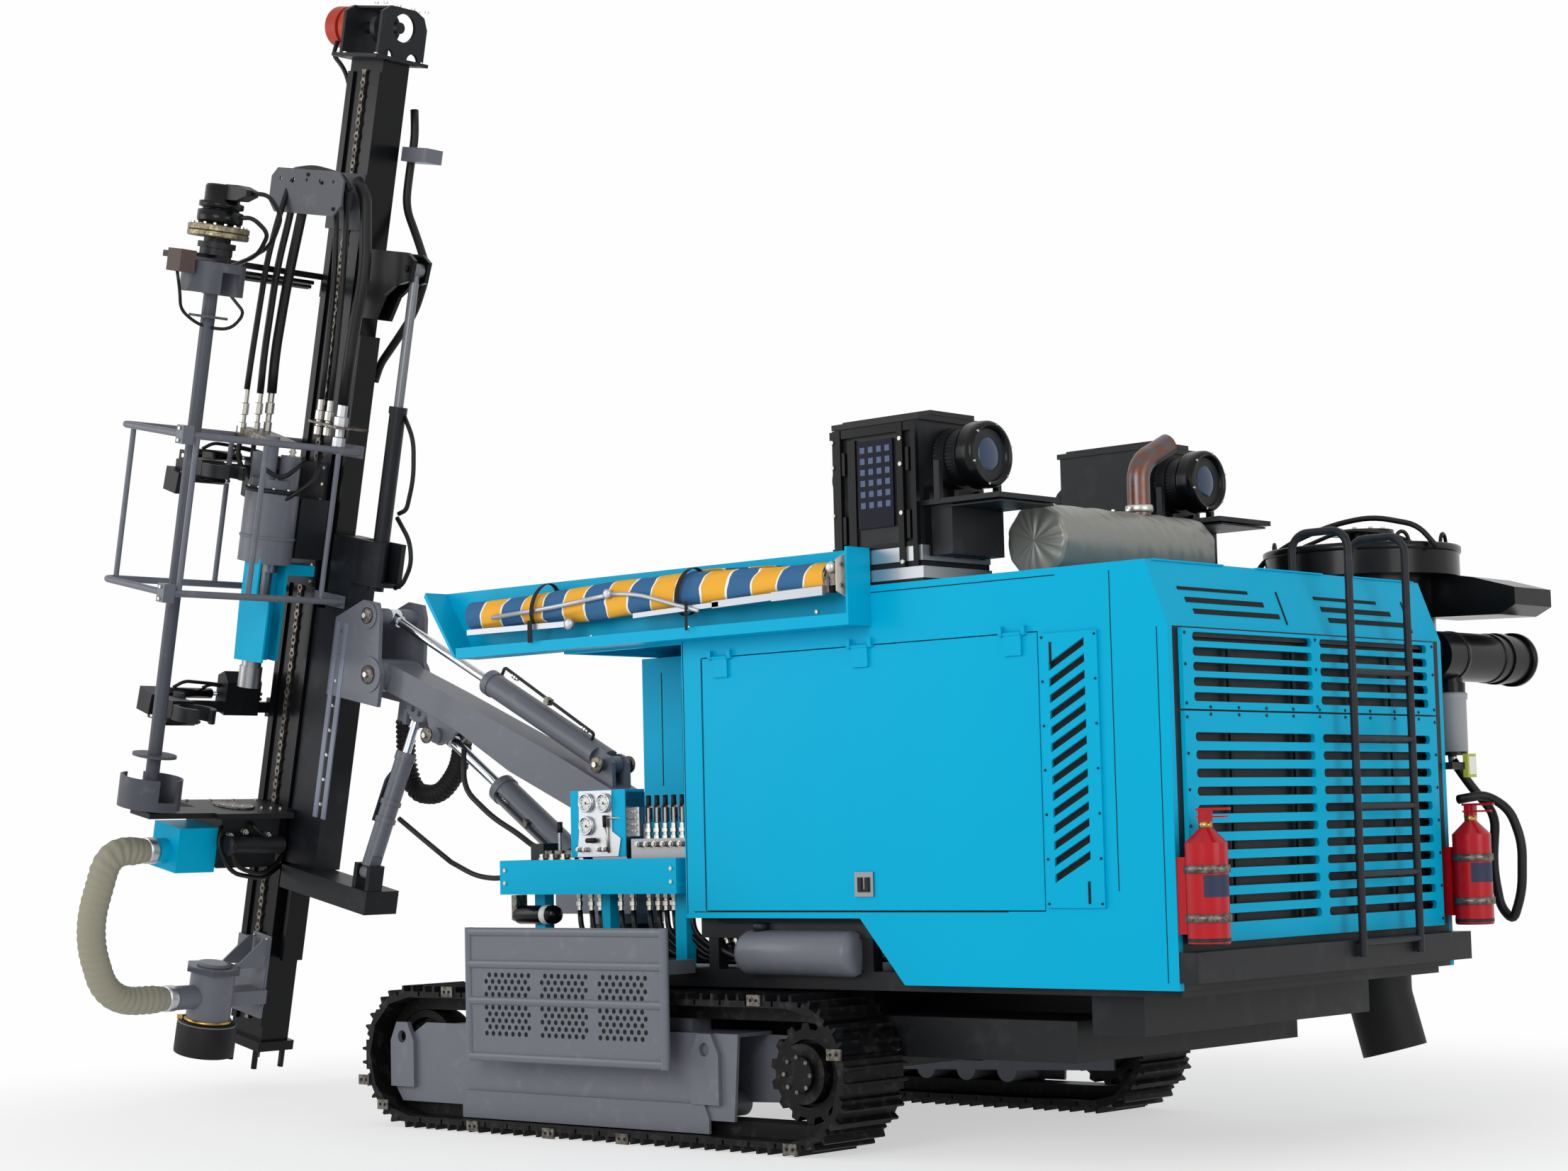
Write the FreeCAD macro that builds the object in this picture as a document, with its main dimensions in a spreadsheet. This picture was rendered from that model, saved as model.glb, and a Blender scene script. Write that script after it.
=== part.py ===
"""Down-the-hole drilling rig on tracks, in millimetres.

Frame: +Z up, the drill mast stands at the -X end, the machine's left side is -Y, and the
origin is on the ground, midway between the two tracks and midway along them.
The mast and all that it carries are drawn upright in the mast frame, whose origin is the
boom's head pin, and are then leaned back about that pin.
"""
import FreeCAD
import Part
import Sketcher
import math
import os
import re
from FreeCAD import Placement, Rotation, Vector

doc = FreeCAD.newDocument("DrillRig")
sheet = doc.addObject("Spreadsheet::Sheet", "Sizes")

# Driving dimensions: name, value in millimetres or degrees
SIZES = (
    # tracks
    ("track_length", 3180), ("track_height", 680), ("track_spacing", 2140),
    ("shoe_width", 390), ("shoe_thick", 22), ("grouser_height", 28), ("chain_depth", 70),
    ("chain_width", 150), ("running_gap", 4),
    # track side frames
    ("side_frame_front", 1430), ("side_frame_rear", 860), ("side_frame_low", 215),
    ("side_frame_high", 500), ("side_frame_width", 250), ("side_plate_thick", 16),
    ("roller_radius", 60), ("roller_width", 190), ("lug_hole_radius", 30),
    ("lug_plate_width", 170), ("lug_plate_top", 500), ("lug_plate_low", 190),
    ("lug_hole_height", 430), ("guard_low", 62), ("guard_high", 190),
    ("hub_radius", 150), ("hub_length", 150), ("wheel_width", 140),
    # step guards over the tracks
    ("step_front", 735), ("step_rear", 600), ("step_low", 345), ("step_high", 965),
    ("step_out", 1330), ("bar_radius", 21), ("mesh_thick", 6), ("mesh_hole_radius", 17),
    # chassis
    ("chassis_front", 1000), ("chassis_rear", 1300), ("chassis_width", 1500),
    ("chassis_low", 330), ("chassis_high", 690), ("cross_beam_width", 260),
    ("deck_high", 770), ("deck_width", 1960), ("bumper_depth", 90), ("right_door_rear", 2120),
    # housing
    ("house_width", 2100), ("house_front", 450), ("house_rear", 3137), ("roof_high", 2423),
    ("wall_thick", 30), ("bend_high", 2152), ("roof_rear", 3035), ("skirt_low", 720),
    ("sill_high", 1000), ("skirt_front", 1490), ("skirt_toe", 1733), ("canopy_front", 327),
    ("canopy_low", 2240), ("door_front", 582), ("door_rear", 2490), ("door_low", 1034),
    ("door_high", 2165), ("door_gap", 5), ("hinge_radius", 9), ("vent_rear", 2800),
    ("vent_slot_width", 34), ("vent_slots", 14),
    # rear grilles
    ("grille_thick", 20), ("grille_left", 980), ("grille_right", 950), ("seam_high", 1819),
    ("slot_height", 36), ("slot_column", 870), ("slot_gap", 60), ("low_slots", 11),
    ("low_slot_pitch", 72), ("high_slots", 5), ("high_slot_pitch", 60),
    ("core_thick", 70),
    # masses and tanks
    ("engine_front", 1150), ("engine_rear", 2350), ("engine_width", 900),
    ("engine_high", 1750), ("tank_radius", 190),
    # ladder, extinguishers
    ("ladder_left", 120), ("ladder_right", 580), ("ladder_out", 3250), ("rung_pitch", 283),
    ("ladder_low", 800), ("extinguisher_radius", 84), ("extinguisher_high", 1420),
    # boom
    ("post_x", -1010), ("foot_x", -960), ("foot_z", 1500), ("head_x", -2830),
    ("head_z", 2300), ("lean", 12.3), ("pin_radius", 35), ("pin_play", 0.05),
    ("boom_width", 190), ("boom_depth", 230), ("side_clearance", 6), ("ear_thick", 30),
    ("lift_base_x", -1310), ("lift_base_z", 1215), ("lift_eye_x", -2386),
    ("lift_eye_z", 1948), ("lift_barrel_radius", 74), ("lift_rod_radius", 30),
    ("dump_base_x", -1093), ("dump_base_z", 1745), ("dump_barrel_radius", 65),
    ("dump_rod_radius", 25), ("eye_width", 70),
    # feed head and cradle, in the mast frame
    ("tilt_pin_u", -70), ("tilt_pin_w", 320), ("bracket_half", 175),
    ("bracket_back", -350), ("bracket_low", -165), ("roll_w", 120), ("roll_pin_radius", 60),
    ("cradle_low", -1180), ("cradle_high", 290), ("cradle_depth", 180),
    ("cradle_front_u", -560), ("cradle_back_u", -365), ("slide_play", 6),
    ("extend_u", -250), ("extend_barrel_radius", 46), ("extend_rod_radius", 27),
    ("extend_top", 1480), ("extend_eye_w", 2250),
    ("roll_cyl_u", 130), ("roll_eye_y", 100), ("roll_eye_w", -215), ("roll_base_y", -110),
    ("roll_base_w", -1085), ("roll_barrel_radius", 52), ("roll_rod_radius", 24),
    # feed beam, in the mast frame
    ("beam_front_u", -930), ("beam_back_u", -645), ("beam_half_y", 95),
    ("beam_low", -2290), ("beam_high", 3400), ("beam_wall", 16), ("rail_width", 48),
    ("rail_proud", 16), ("crown_high", 3705), ("sprocket_radius", 95),
    # drill line and rotary head, in the mast frame
    ("drill_u", -700), ("drill_y", -450), ("carriage_low", 400), ("carriage_high", 1100),
    ("gear_radius", 150), ("gear_low", 520), ("gear_high", 930), ("spindle_radius", 55),
    ("spindle_low", -190), ("guide_low", 2480), ("guide_high", 2730),
    # rod carousel
    ("carousel_u", -600), ("carousel_y", -1100), ("shaft_radius", 38), ("shaft_low", -850),
    ("shaft_high", 2200), ("cup_radius", 170), ("cup_height", 170),
    # guard cage
    ("cage_low", 350), ("cage_high", 1200), ("cage_near_u", -400), ("cage_far_u", -960),
    ("cage_out", -1300), ("cage_bar", 19),
    # dust hood
    ("hood_radius", 125), ("hood_low", -2110), ("hood_high", -1800), ("skirt_radius", 165),
    ("skirt_bottom", -2290), ("bush_radius", 62), ("suction_radius", 62),
    # roof fittings
    ("unit_y", 810), ("unit_front", 1400), ("unit_rear", 1870), ("unit_width", 440),
    ("unit_high", 3140), ("lens_x", 2090), ("lens_z", 2960), ("lens_radius", 140),
    ("muffler_x", 2130), ("muffler_z", 2600), ("muffler_radius", 160),
    ("muffler_length", 1160), ("exhaust_radius", 52), ("exhaust_y", 200),
    # awning
    ("awning_front", 1160), ("awning_rear", 1600), ("awning_low", 2250),
    ("awning_high", 2585), ("awning_depth", 150), ("roll_radius", 70), ("roll_z", 2466),
    # controls
    ("tray_front", -790), ("tray_rear", 400), ("tray_low", 1110), ("tray_high", 1272),
    ("tray_outer", 1062), ("tray_inner", 560),
    # dust collector on the right
    ("collector_x", 2520), ("collector_y", 1430), ("collector_radius", 330),
    ("lid_radius", 450), ("lid_low", 2490), ("lid_high", 2625),
)
for row, (alias, value) in enumerate(SIZES, 1):
    sheet.set("A%d" % row, alias)
    sheet.set("B%d" % row, str(value))
    sheet.setAlias("B%d" % row, alias)
doc.recompute()


def size(alias):
    """One size read back from the sheet."""
    return float(sheet.get(alias))


def on_sheet(expression):
    """The expression with every name in it pointed at the sheet's cell."""
    return re.sub(r"\b(?!sin\b|cos\b|tan\b|sqrt\b|atan\b)([a-z]\w*)", r"Sizes.\1", str(expression))


def bind(obj, **sizes):
    """Bind an object's properties to expressions in the sheet's names."""
    for prop, expression in sizes.items():
        obj.setExpression(prop, on_sheet(expression))
    return obj


def place(obj, at):
    """Bind an object's position to three expressions."""
    for axis, expression in zip("xyz", at):
        obj.setExpression("Placement.Base." + axis, on_sheet(expression))
    return obj


TURN = {"X": Rotation(Vector(0, 1, 0), 90), "Y": Rotation(Vector(1, 0, 0), -90),
        "Z": Rotation()}


def block(name, lengths, corner):
    """A box from its three lengths and its lowest corner."""
    box = doc.addObject("Part::Box", name)
    bind(box, Length=lengths[0], Width=lengths[1], Height=lengths[2])
    return place(box, corner)


def rod(name, radius, length, start, axis="Z"):
    """A round bar that runs from its start along +axis."""
    bar = doc.addObject("Part::Cylinder", name)
    bar.Placement = Placement(Vector(), TURN[axis])
    bind(bar, Radius=radius, Height=length)
    return place(bar, start)


def plate(name, plane, corners, thick, start):
    """A body padded from a closed outline; each corner is a pair of expressions.

    The outline lies in XZ, YZ or XY, and the plate runs from start along the third axis."""
    body = doc.addObject("PartDesign::Body", name)
    sketch = body.newObject("Sketcher::SketchObject", name + "_outline")
    origin = [f for f in body.Origin.OriginFeatures if f.Role == plane + "_Plane"][0]
    sketch.AttachmentSupport = [(origin, "")]
    sketch.MapMode = "FlatFace"
    count = len(corners)
    spots = [Vector(math.cos(6.2832 * i / count), math.sin(6.2832 * i / count), 0) * 100
             for i in range(count)]
    for i in range(count):
        sketch.addGeometry(Part.LineSegment(spots[i], spots[(i + 1) % count]))
    for i in range(count):
        sketch.addConstraint(Sketcher.Constraint("Coincident", i, 2, (i + 1) % count, 1))
    for i, pair in enumerate(corners):
        for kind, expression in zip(("DistanceX", "DistanceY"), pair):
            number = sketch.addConstraint(Sketcher.Constraint(kind, -1, 1, i, 1, 1.0))
            sketch.setExpression("Constraints[%d]" % number, on_sheet(expression))
    pad = body.newObject("PartDesign::Pad", name + "_pad")
    pad.Profile = sketch
    bind(pad, Length=thick)
    if plane == "XZ":
        place(body, ("0", "(%s) + (%s)" % (start, thick), "0"))
    elif plane == "YZ":
        place(body, (start, "0", "0"))
    else:
        place(body, ("0", "0", start))
    return body


def fuse(name, pieces):
    """One solid from pieces that touch."""
    joined = doc.addObject("Part::MultiFuse", name)
    joined.Shapes = pieces
    joined.Refine = True
    return joined


def group(name, pieces):
    """Like pieces that stand apart, kept in one sub-part."""
    kept = doc.addObject("Part::Compound", name)
    kept.Links = pieces
    return kept


def cut(name, base, tools):
    """Base less each tool."""
    tool = tools[0] if len(tools) == 1 else group(name + "_tools", tools)
    result = doc.addObject("Part::Cut", name)
    result.Base = base
    result.Tool = tool
    result.Refine = True
    return result


def made(name, shape):
    """A sub-part whose shape is worked out from the sheet's sizes."""
    piece = doc.addObject("Part::Feature", name)
    piece.Shape = shape
    return piece


def bent_path(points, radius):
    """A wire of straight runs with a tangent arc of the given radius at each corner."""
    spots = [Vector(*p) for p in points]
    edges = []
    last = spots[0]
    for before, corner, after in zip(spots, spots[1:], spots[2:]):
        back = (before - corner).normalize()
        ahead = (after - corner).normalize()
        half = back.getAngle(ahead) / 2
        reach = radius / math.tan(half)
        start = corner + back * reach
        end = corner + ahead * reach
        inward = (back + ahead).normalize()
        middle = corner + inward * (radius / math.sin(half) - radius)
        if (start - last).Length > 1e-6:
            edges.append(Part.LineSegment(last, start).toShape())
        edges.append(Part.Arc(start, middle, end).toShape())
        last = end
    edges.append(Part.LineSegment(last, spots[-1]).toShape())
    return Part.Wire(edges)


def tube(points, radius, bend):
    """A round bar swept along a bent path."""
    path = bent_path(points, bend)
    along = (Vector(*points[1]) - Vector(*points[0])).normalize()
    ring = Part.Wire([Part.makeCircle(radius, Vector(*points[0]), along)])
    return path.makePipeShell([ring], True, True)


KEPT = []


def keep(piece, label):
    """Mark a finished object as a sub-part of its own."""
    piece.Label = label
    KEPT.append(piece)
    return piece


def lean_back(piece):
    """Turn a sub-part from the mast frame to its leaning place on the head pin."""
    spin = Rotation(Vector(0, 1, 0), size("lean"))
    place_of_mast = Placement(Vector(size("head_x"), 0, size("head_z")), spin)
    if not piece.isDerivedFrom("Part::Feature") or piece.ExpressionEngine:
        raise RuntimeError(piece.Name + " can't be leaned")
    piece.Placement = place_of_mast.multiply(piece.Placement)
    return piece


SIDES = (("left", -1), ("right", 1))


# Tracks: one closed loop each, its shoes and grousers in the outline
def loop_points(radius, offset, spacing, along):
    """The point and outward direction at a distance along the stadium line."""
    straight = 2 * spacing
    arc = math.pi * radius
    along = along % (2 * straight + 2 * arc)
    if along < straight:
        return Vector(-spacing + along, 0, -radius - offset), 0.0
    along -= straight
    if along < arc:
        turn = along / radius
        reach = radius + offset
        return Vector(spacing + reach * math.sin(turn), 0, -reach * math.cos(turn)), turn
    along -= arc
    if along < straight:
        return Vector(spacing - along, 0, radius + offset), math.pi
    turn = math.pi + (along - straight) / radius
    reach = radius + offset
    return Vector(-spacing + reach * math.sin(turn), 0, -reach * math.cos(turn)), turn


def track_loop(side):
    """The closed track of one side, standing on the ground."""
    centre = size("track_length") / 2 - size("track_height") / 2
    base = size("track_height") / 2 - size("shoe_thick") - size("grouser_height")
    count = 44
    pitch = (4 * centre + 2 * math.pi * base) / count
    thick = size("shoe_thick")
    tip = thick + size("grouser_height")
    profile = ((-0.46, 0), (-0.46, thick), (-0.25, thick), (-0.22, tip), (-0.15, tip),
               (-0.12, thick), (0.18, thick), (0.21, tip), (0.28, tip), (0.31, thick),
               (0.46, thick), (0.46, 0))
    outer = []
    for index in range(count):
        spot, turn = loop_points(base, 0, centre, centre + index * pitch)
        for part, rise in profile:
            reach = part * pitch
            outer.append(spot + Vector(reach * math.cos(turn) + rise * math.sin(turn), 0,
                                       reach * math.sin(turn) - rise * math.cos(turn)))
    inner = []
    depth = 6
    for index in range(count):
        inner.append(loop_points(base, -depth, centre, centre + index * pitch)[0])
    width = size("shoe_width")
    middle = side * size("track_spacing") / 2
    rise = Vector(0, middle - width / 2, size("track_height") / 2)
    rings = []
    for points in (outer, inner):
        points = [p + rise for p in points]
        rings.append(Part.makePolygon(points + [points[0]]))
    shoes = Part.Face(rings[0]).cut(Part.Face(rings[1])).extrude(Vector(0, width, 0))
    chain = size("chain_width")
    inside = base - size("chain_depth")
    start = Vector(0, middle - chain / 2, size("track_height") / 2)
    rings = []
    for radius in (base - depth / 2, inside):
        points = []
        for index in range(2 * count):
            points.append(loop_points(base, radius - base, centre, index * pitch / 2)[0] + start)
        rings.append(Part.makePolygon(points + [points[0]]))
    links = Part.Face(rings[0]).cut(Part.Face(rings[1])).extrude(Vector(0, chain, 0))
    return shoes.fuse(links).removeSplitter()


for side_name, side in SIDES:
    keep(made("Track" + side_name, track_loop(side)), "track_" + side_name)

# Track side frames with their rollers, skids, guards and lifting lugs
side_frames = []
for side_name, side in SIDES:
    s = side_name.capitalize()
    mid = "%d * track_spacing / 2" % side
    out = "(%s) + %d * side_frame_width / 2" % (mid, side)

    def strip(name, corners, thick, away, s=s, out=out, side=side):
        """A plate along the track whose outer face stands 'away' inside the frame's face."""
        low = "(%s) - %d * (%s)" % (out, side, away)
        start = low if side < 0 else "(%s) - (%s)" % (low, thick)
        return plate(s + name, "XZ", corners, thick, start)

    outline = [("-side_frame_front + 60", "120"), ("side_frame_rear", "120"),
               ("side_frame_rear + 30", "side_frame_high"),
               ("-side_frame_front + 240", "side_frame_high"),
               ("-side_frame_front", "side_frame_high - 130"),
               ("-side_frame_front", "200")]
    inner_outline = outline[:1] + [("side_frame_rear + 480", "200"),
                                   ("side_frame_rear + 480", "side_frame_high - 20")] + outline[3:]
    pieces = [strip("OuterPlate", outline, "side_plate_thick", "0"),
              strip("InnerPlate", inner_outline, "side_plate_thick",
                    "side_frame_width - side_plate_thick"),
              block(s + "FrameTop", ("side_frame_rear + 1000", "side_frame_width", "16"),
                    ("-1000", "(%s) - side_frame_width / 2" % mid, "side_frame_high - 16")),
              strip("RollerGuard", [("-915", "guard_low"), ("718", "guard_low"),
                                    ("718", "guard_high - 60"), ("690", "guard_high"),
                                    ("-885", "guard_high"), ("-915", "guard_high - 60")],
                    "14", "-14")]
    for number, x in enumerate((-880, -620, -360, -100, 160, 420, 680)):
        pieces.append(rod(s + "Roller%d" % number, "roller_radius", "side_frame_width - 8",
                          (str(x), "(%s) - side_frame_width / 2 + 4" % mid,
                           "120.3 + roller_radius"), "Y"))
    for number, x in enumerate((-520, 380)):
        pieces.append(block(s + "Skid%d" % number, ("170", "chain_width - 30", "61.7"),
                            (str(x), "(%s) - chain_width / 2 + 15" % mid, "side_frame_high - 2")))
    lugs = []
    for number, x in enumerate((-1346, 705)):
        lugs.append(strip("LugPlate%d" % number,
                          [("%d - lug_plate_width / 2" % x, "lug_plate_low"),
                           ("%d + lug_plate_width / 2" % x, "lug_plate_low"),
                           ("%d + lug_plate_width / 2" % x, "lug_plate_top - 90"),
                           ("%d + 40" % x, "lug_plate_top"), ("%d - 40" % x, "lug_plate_top"),
                           ("%d - lug_plate_width / 2" % x, "lug_plate_top - 90")],
                          "24", "-24"))
    holes = []
    for number, x in enumerate((-1346, 705)):
        holes.append(rod(s + "LugHole%d" % number, "lug_hole_radius", "400",
                         (str(x), "(%s) + %d * 200 - 200" % (out, side), "lug_hole_height"), "Y"))
    frame = cut(s + "SideFrame", fuse(s + "SideFrameSolid", pieces + lugs), holes)
    side_frames.append(frame)
keep(group("SideFrames", side_frames), "track_frames")


def toothed(radius, root, teeth, width, centre):
    """A sprocket disc across Y around its centre."""
    points = []
    for number in range(teeth):
        for part, reach in ((0.0, root), (0.30, root), (0.42, radius), (0.78, radius), (0.9, root)):
            turn = 2 * math.pi * (number + part) / teeth
            points.append(centre + Vector(reach * math.cos(turn), -width / 2,
                                          reach * math.sin(turn)))
    return Part.Face(Part.makePolygon(points + [points[0]])).extrude(Vector(0, width, 0))


wheels = []
for side_name, side in SIDES:
    mid = side * size("track_spacing") / 2
    centre = size("track_length") / 2 - size("track_height") / 2
    height = size("track_height") / 2
    inside = height - size("shoe_thick") - size("grouser_height") - size("chain_depth")
    rim = inside - size("running_gap")
    width = size("wheel_width")
    hub = Vector(centre, mid, height)
    wheel = toothed(rim, rim - 26, 14, width, hub)
    recess = Part.makeCylinder(rim - 70, 30, hub + Vector(0, side * width / 2, 0),
                               Vector(0, -side, 0))
    drive = Part.makeCylinder(size("hub_radius") - 20, 70, hub + Vector(0, side * 40, 0),
                              Vector(0, side, 0))
    cap = Part.makeCylinder(size("hub_radius") - 70, 96, hub + Vector(0, side * 40, 0),
                            Vector(0, side, 0))
    motor_length = size("side_frame_width") / 2 - size("side_plate_thick") - width / 2
    motor = Part.makeCylinder(size("hub_radius"), motor_length,
                              hub - Vector(0, side * width / 2, 0), Vector(0, -side, 0))
    wheels.append(wheel.cut(recess).fuse([drive, cap, motor]).removeSplitter())
    idler = Vector(-centre, mid, height)
    disc = Part.makeCylinder(rim, width, idler - Vector(0, width / 2, 0), Vector(0, 1, 0))
    for way in (-1, 1):
        ring = Part.makeCylinder(rim - 35, 34, idler + Vector(0, way * width / 2, 0),
                                 Vector(0, -way, 0))
        core = Part.makeCylinder(80, 34, idler + Vector(0, way * width / 2, 0),
                                 Vector(0, -way, 0))
        disc = disc.cut(ring.cut(core))
    half = size("side_frame_width") / 2 - size("side_plate_thick")
    axle = Part.makeCylinder(40, 2 * half, idler - Vector(0, half, 0), Vector(0, 1, 0))
    wheels.append(disc.fuse(axle).removeSplitter())
keep(made("TrackWheels", Part.makeCompound(wheels)), "track_wheels")

# Chassis between the tracks, with the boom's turntable and the swing cylinder's foot
chassis_pieces = [
    block("CentreBeam", ("chassis_front + chassis_rear", "chassis_width",
                         "chassis_high - chassis_low"),
          ("-chassis_front", "-chassis_width / 2", "chassis_low")),
    block("FrontNose", ("400", "460", "400"), ("post_x - 210", "-230", "500")),
    rod("Turntable", "190", "31", ("post_x", "0", "899")),
    rod("SwingPin", "60", "250", ("post_x", "0", "900")),
    block("SwingFoot", ("100", "100", "329"), ("-380", "250", "chassis_high")),
    rod("SwingFootPin", "25", "96", ("-330", "300", "1005")),
    rod("SwingFootCap", "38", "10", ("-330", "300", "1101")),
    block("RearWeight", ("260", "1700", "169"), ("2560", "-850", "521")),
    block("Tank", ("1150", "1640", "172"), ("1310", "-820", "400")),
    block("RearSpine", ("1300", "760", "119"), ("1280", "-380", "571")),
]
for number, x in enumerate((-780, 420)):
    for side_name, side in SIDES:
        chassis_pieces.append(block("CrossBeam%d%s" % (number, side_name),
                                    ("cross_beam_width", "210", "250"),
                                    (str(x), "-945" if side < 0 else "735", "240")))
keep(fuse("Chassis", chassis_pieces), "chassis_frame")

# Step guards over the tracks, with perforated sheets
step_guards = []
for side_name, side in SIDES:
    s = side_name.capitalize() + "Step"
    y = "%d * step_out" % side
    bars = []
    for number, z in enumerate(("step_low + bar_radius", "step_high - 340", "step_high - 170",
                                "step_high - bar_radius")):
        bars.append(rod(s + "Bar%d" % number, "bar_radius", "step_front + step_rear - 2 * bar_radius",
                        ("-step_front + bar_radius", y, z), "X"))
    for number, x in enumerate(("-step_front + bar_radius", "step_rear - bar_radius")):
        bars.append(rod(s + "Post%d" % number, "bar_radius", "step_high - step_low",
                        (x, y, "step_low")))
    sheet_base = block(s + "Sheet", ("step_front + step_rear - 3 * bar_radius", "mesh_thick",
                                     "step_high - step_low - 345"),
                       ("-step_front + 1.5 * bar_radius", "(%s) - mesh_thick / 2" % y,
                        "step_low + bar_radius"))
    holes = []
    for patch in range(3):
        for row in range(4):
            for column in range(5):
                x = "-step_front + %d" % (150 + patch * 420 + column * 56 + (row % 2) * 28)
                holes.append(rod(s + "Hole%d_%d_%d" % (patch, row, column), "mesh_hole_radius",
                                 "60", (x, "(%s) - 30" % y, "step_low + %d" % (70 + row * 50)),
                                 "Y"))
    sheet_cut = cut(s + "SheetCut", sheet_base, holes)
    arms = []
    for number, x in enumerate((-560, 380)):
        start = "-step_out" if side < 0 else "deck_width / 2"
        arms.append(block(s + "Arm%d" % number, ("50", "step_out - deck_width / 2", "62"),
                          (str(x), start, "750")))
    step_guards.append(fuse(s + "Guard", bars + [sheet_cut] + arms))
keep(group("StepGuards", step_guards), "step_guards")

# Deck, bumper and what stands on it
deck = [block("Deck", ("3950", "deck_width", "deck_high - chassis_high"),
              ("-880 + 30", "-deck_width / 2", "chassis_high")),
        block("Bumper", ("bumper_depth", "house_width", "120"),
              ("house_rear", "-house_width / 2", "750"))]
for side_name, side in SIDES:
    deck.append(block("DeckEdge" + side_name, ("1060", "70", "90"),
                      ("480", "-985" if side < 0 else "915", "910")))
    for number, x in enumerate((520, 1000, 1440)):
        deck.append(block("DeckPost%s%d" % (side_name, number), ("60", "60", "150"),
                          (str(x), "-980" if side < 0 else "920", "765")))
deck_tools = [rod("DeckTurntableHole", "205", "200", ("post_x", "0", "650")),
              block("DeckNose", ("230", "480", "200"), ("-900", "-240", "650")),
              block("DeckSwingFoot", ("120", "120", "200"), ("-390", "240", "650"))]
keep(cut("DeckCut", fuse("DeckSolid", deck), deck_tools), "base_deck")

keep(block("Engine", ("engine_rear - engine_front", "engine_width", "engine_high - deck_high"),
           ("engine_front", "-engine_width / 2", "deck_high")), "engine_block")

# Housing: side walls with their door and vent openings
for side_name, side in SIDES:
    s = side_name.capitalize()
    start = "-house_width / 2" if side < 0 else "house_width / 2 - wall_thick"
    rear = "door_rear" if side < 0 else "right_door_rear"
    wall = plate(s + "Wall", "XZ",
                 [("house_front", "sill_high"), ("skirt_front", "sill_high"),
                  ("skirt_toe", "skirt_low"), ("house_rear", "skirt_low"),
                  ("house_rear", "bend_high"), ("house_rear - wall_thick", "bend_high"),
                  ("roof_rear - 21", "roof_high - wall_thick"),
                  ("house_front", "roof_high - wall_thick")], "wall_thick", start)
    openings = [block(s + "DoorHole", ("(%s) - door_front + 2 * door_gap" % rear, "200",
                                       "door_high - door_low + 2 * door_gap"),
                      ("door_front - door_gap", "(%s) - 80" % start, "door_low - door_gap"))]
    if side < 0:
        openings.append(block(s + "VentHole", ("vent_rear - door_rear - 60", "200",
                                               "door_high - door_low - 60"),
                              ("door_rear + 40", "(%s) - 80" % start, "door_low + 30")))
    pieces = [cut(s + "WallCut", wall, openings)]
    face = "%d * (house_width / 2 + 9)" % side
    doors = ("door_front + 120", "(door_front + (%s)) / 2" % rear, "(%s) - 120" % rear)
    knuckles = []
    bores = []
    for number, x in enumerate(doors):
        pieces.append(rod(s + "HingeRod%d" % number, "hinge_radius - 3", "140",
                          ("(%s) - 70" % x, face, "door_high"), "X"))
        for end, shift in enumerate(("-70", "50")):
            pieces.append(block(s + "HingeEar%d_%d" % (number, end), ("20", "20", "29"),
                                ("(%s) + (%s)" % (x, shift),
                                 "(%s) - %d" % (face, 11 if side < 0 else 9), "door_high + 2")))
            pieces.append(rod(s + "HingeEye%d_%d" % (number, end), "hinge_radius - 0.5", "20",
                              ("(%s) + (%s)" % (x, shift), face, "door_high"), "X"))
        knuckles.append(rod(s + "Knuckle%d" % number, "hinge_radius", "90",
                            ("(%s) - 45" % x, face, "door_high"), "X"))
        knuckles.append(block(s + "Leaf%d" % number, ("90", "13", "90"),
                              ("(%s) - 45" % x, "(%s) - %d" % (face, 4 if side < 0 else 9),
                               "door_high - 90")))
        bores.append(rod(s + "Bore%d" % number, "hinge_radius - 3 + pin_play", "120",
                         ("(%s) - 60" % x, face, "door_high"), "X"))
    keep(fuse(s + "WallSolid", pieces), "side_wall_" + side_name)
    panel = block(s + "DoorPanel", ("(%s) - door_front" % rear, "wall_thick",
                                    "door_high - door_low"), ("door_front", start, "door_low"))
    pocket = block(s + "DoorPocket", ("(%s) - door_front - 80" % rear, "wall_thick - 6",
                                      "door_high - door_low - 80"),
                   ("door_front + 40", "(%s) + %d" % (start, 6 if side < 0 else 0),
                    "door_low + 40"))
    hollow = cut(s + "DoorHollow", panel, [pocket])
    keep(cut(s + "DoorCut", fuse(s + "DoorSolid", [hollow] + knuckles), bores),
         "door_" + side_name)

# Slanted louvres behind the door, in their own panel
vent_panel = block("VentPanel", ("vent_rear - door_rear - 20", "12", "door_high - door_low - 20"),
                   ("door_rear + 20", "-house_width / 2 - 12", "door_low + 10"))
vent_tools = []
for number in range(int(size("vent_slots"))):
    low = "door_low + %d" % (110 + number * 66)
    vent_tools.append(plate("VentSlot%d" % number, "XZ",
                            [("door_rear + 65", low), ("door_rear + 245", "(%s) + 95" % low),
                             ("door_rear + 245", "(%s) + 95 + vent_slot_width" % low),
                             ("door_rear + 65", "(%s) + vent_slot_width" % low)],
                            "60", "-house_width / 2 - 40"))
keep(cut("VentCut", vent_panel, vent_tools), "vent_louvres")

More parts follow.
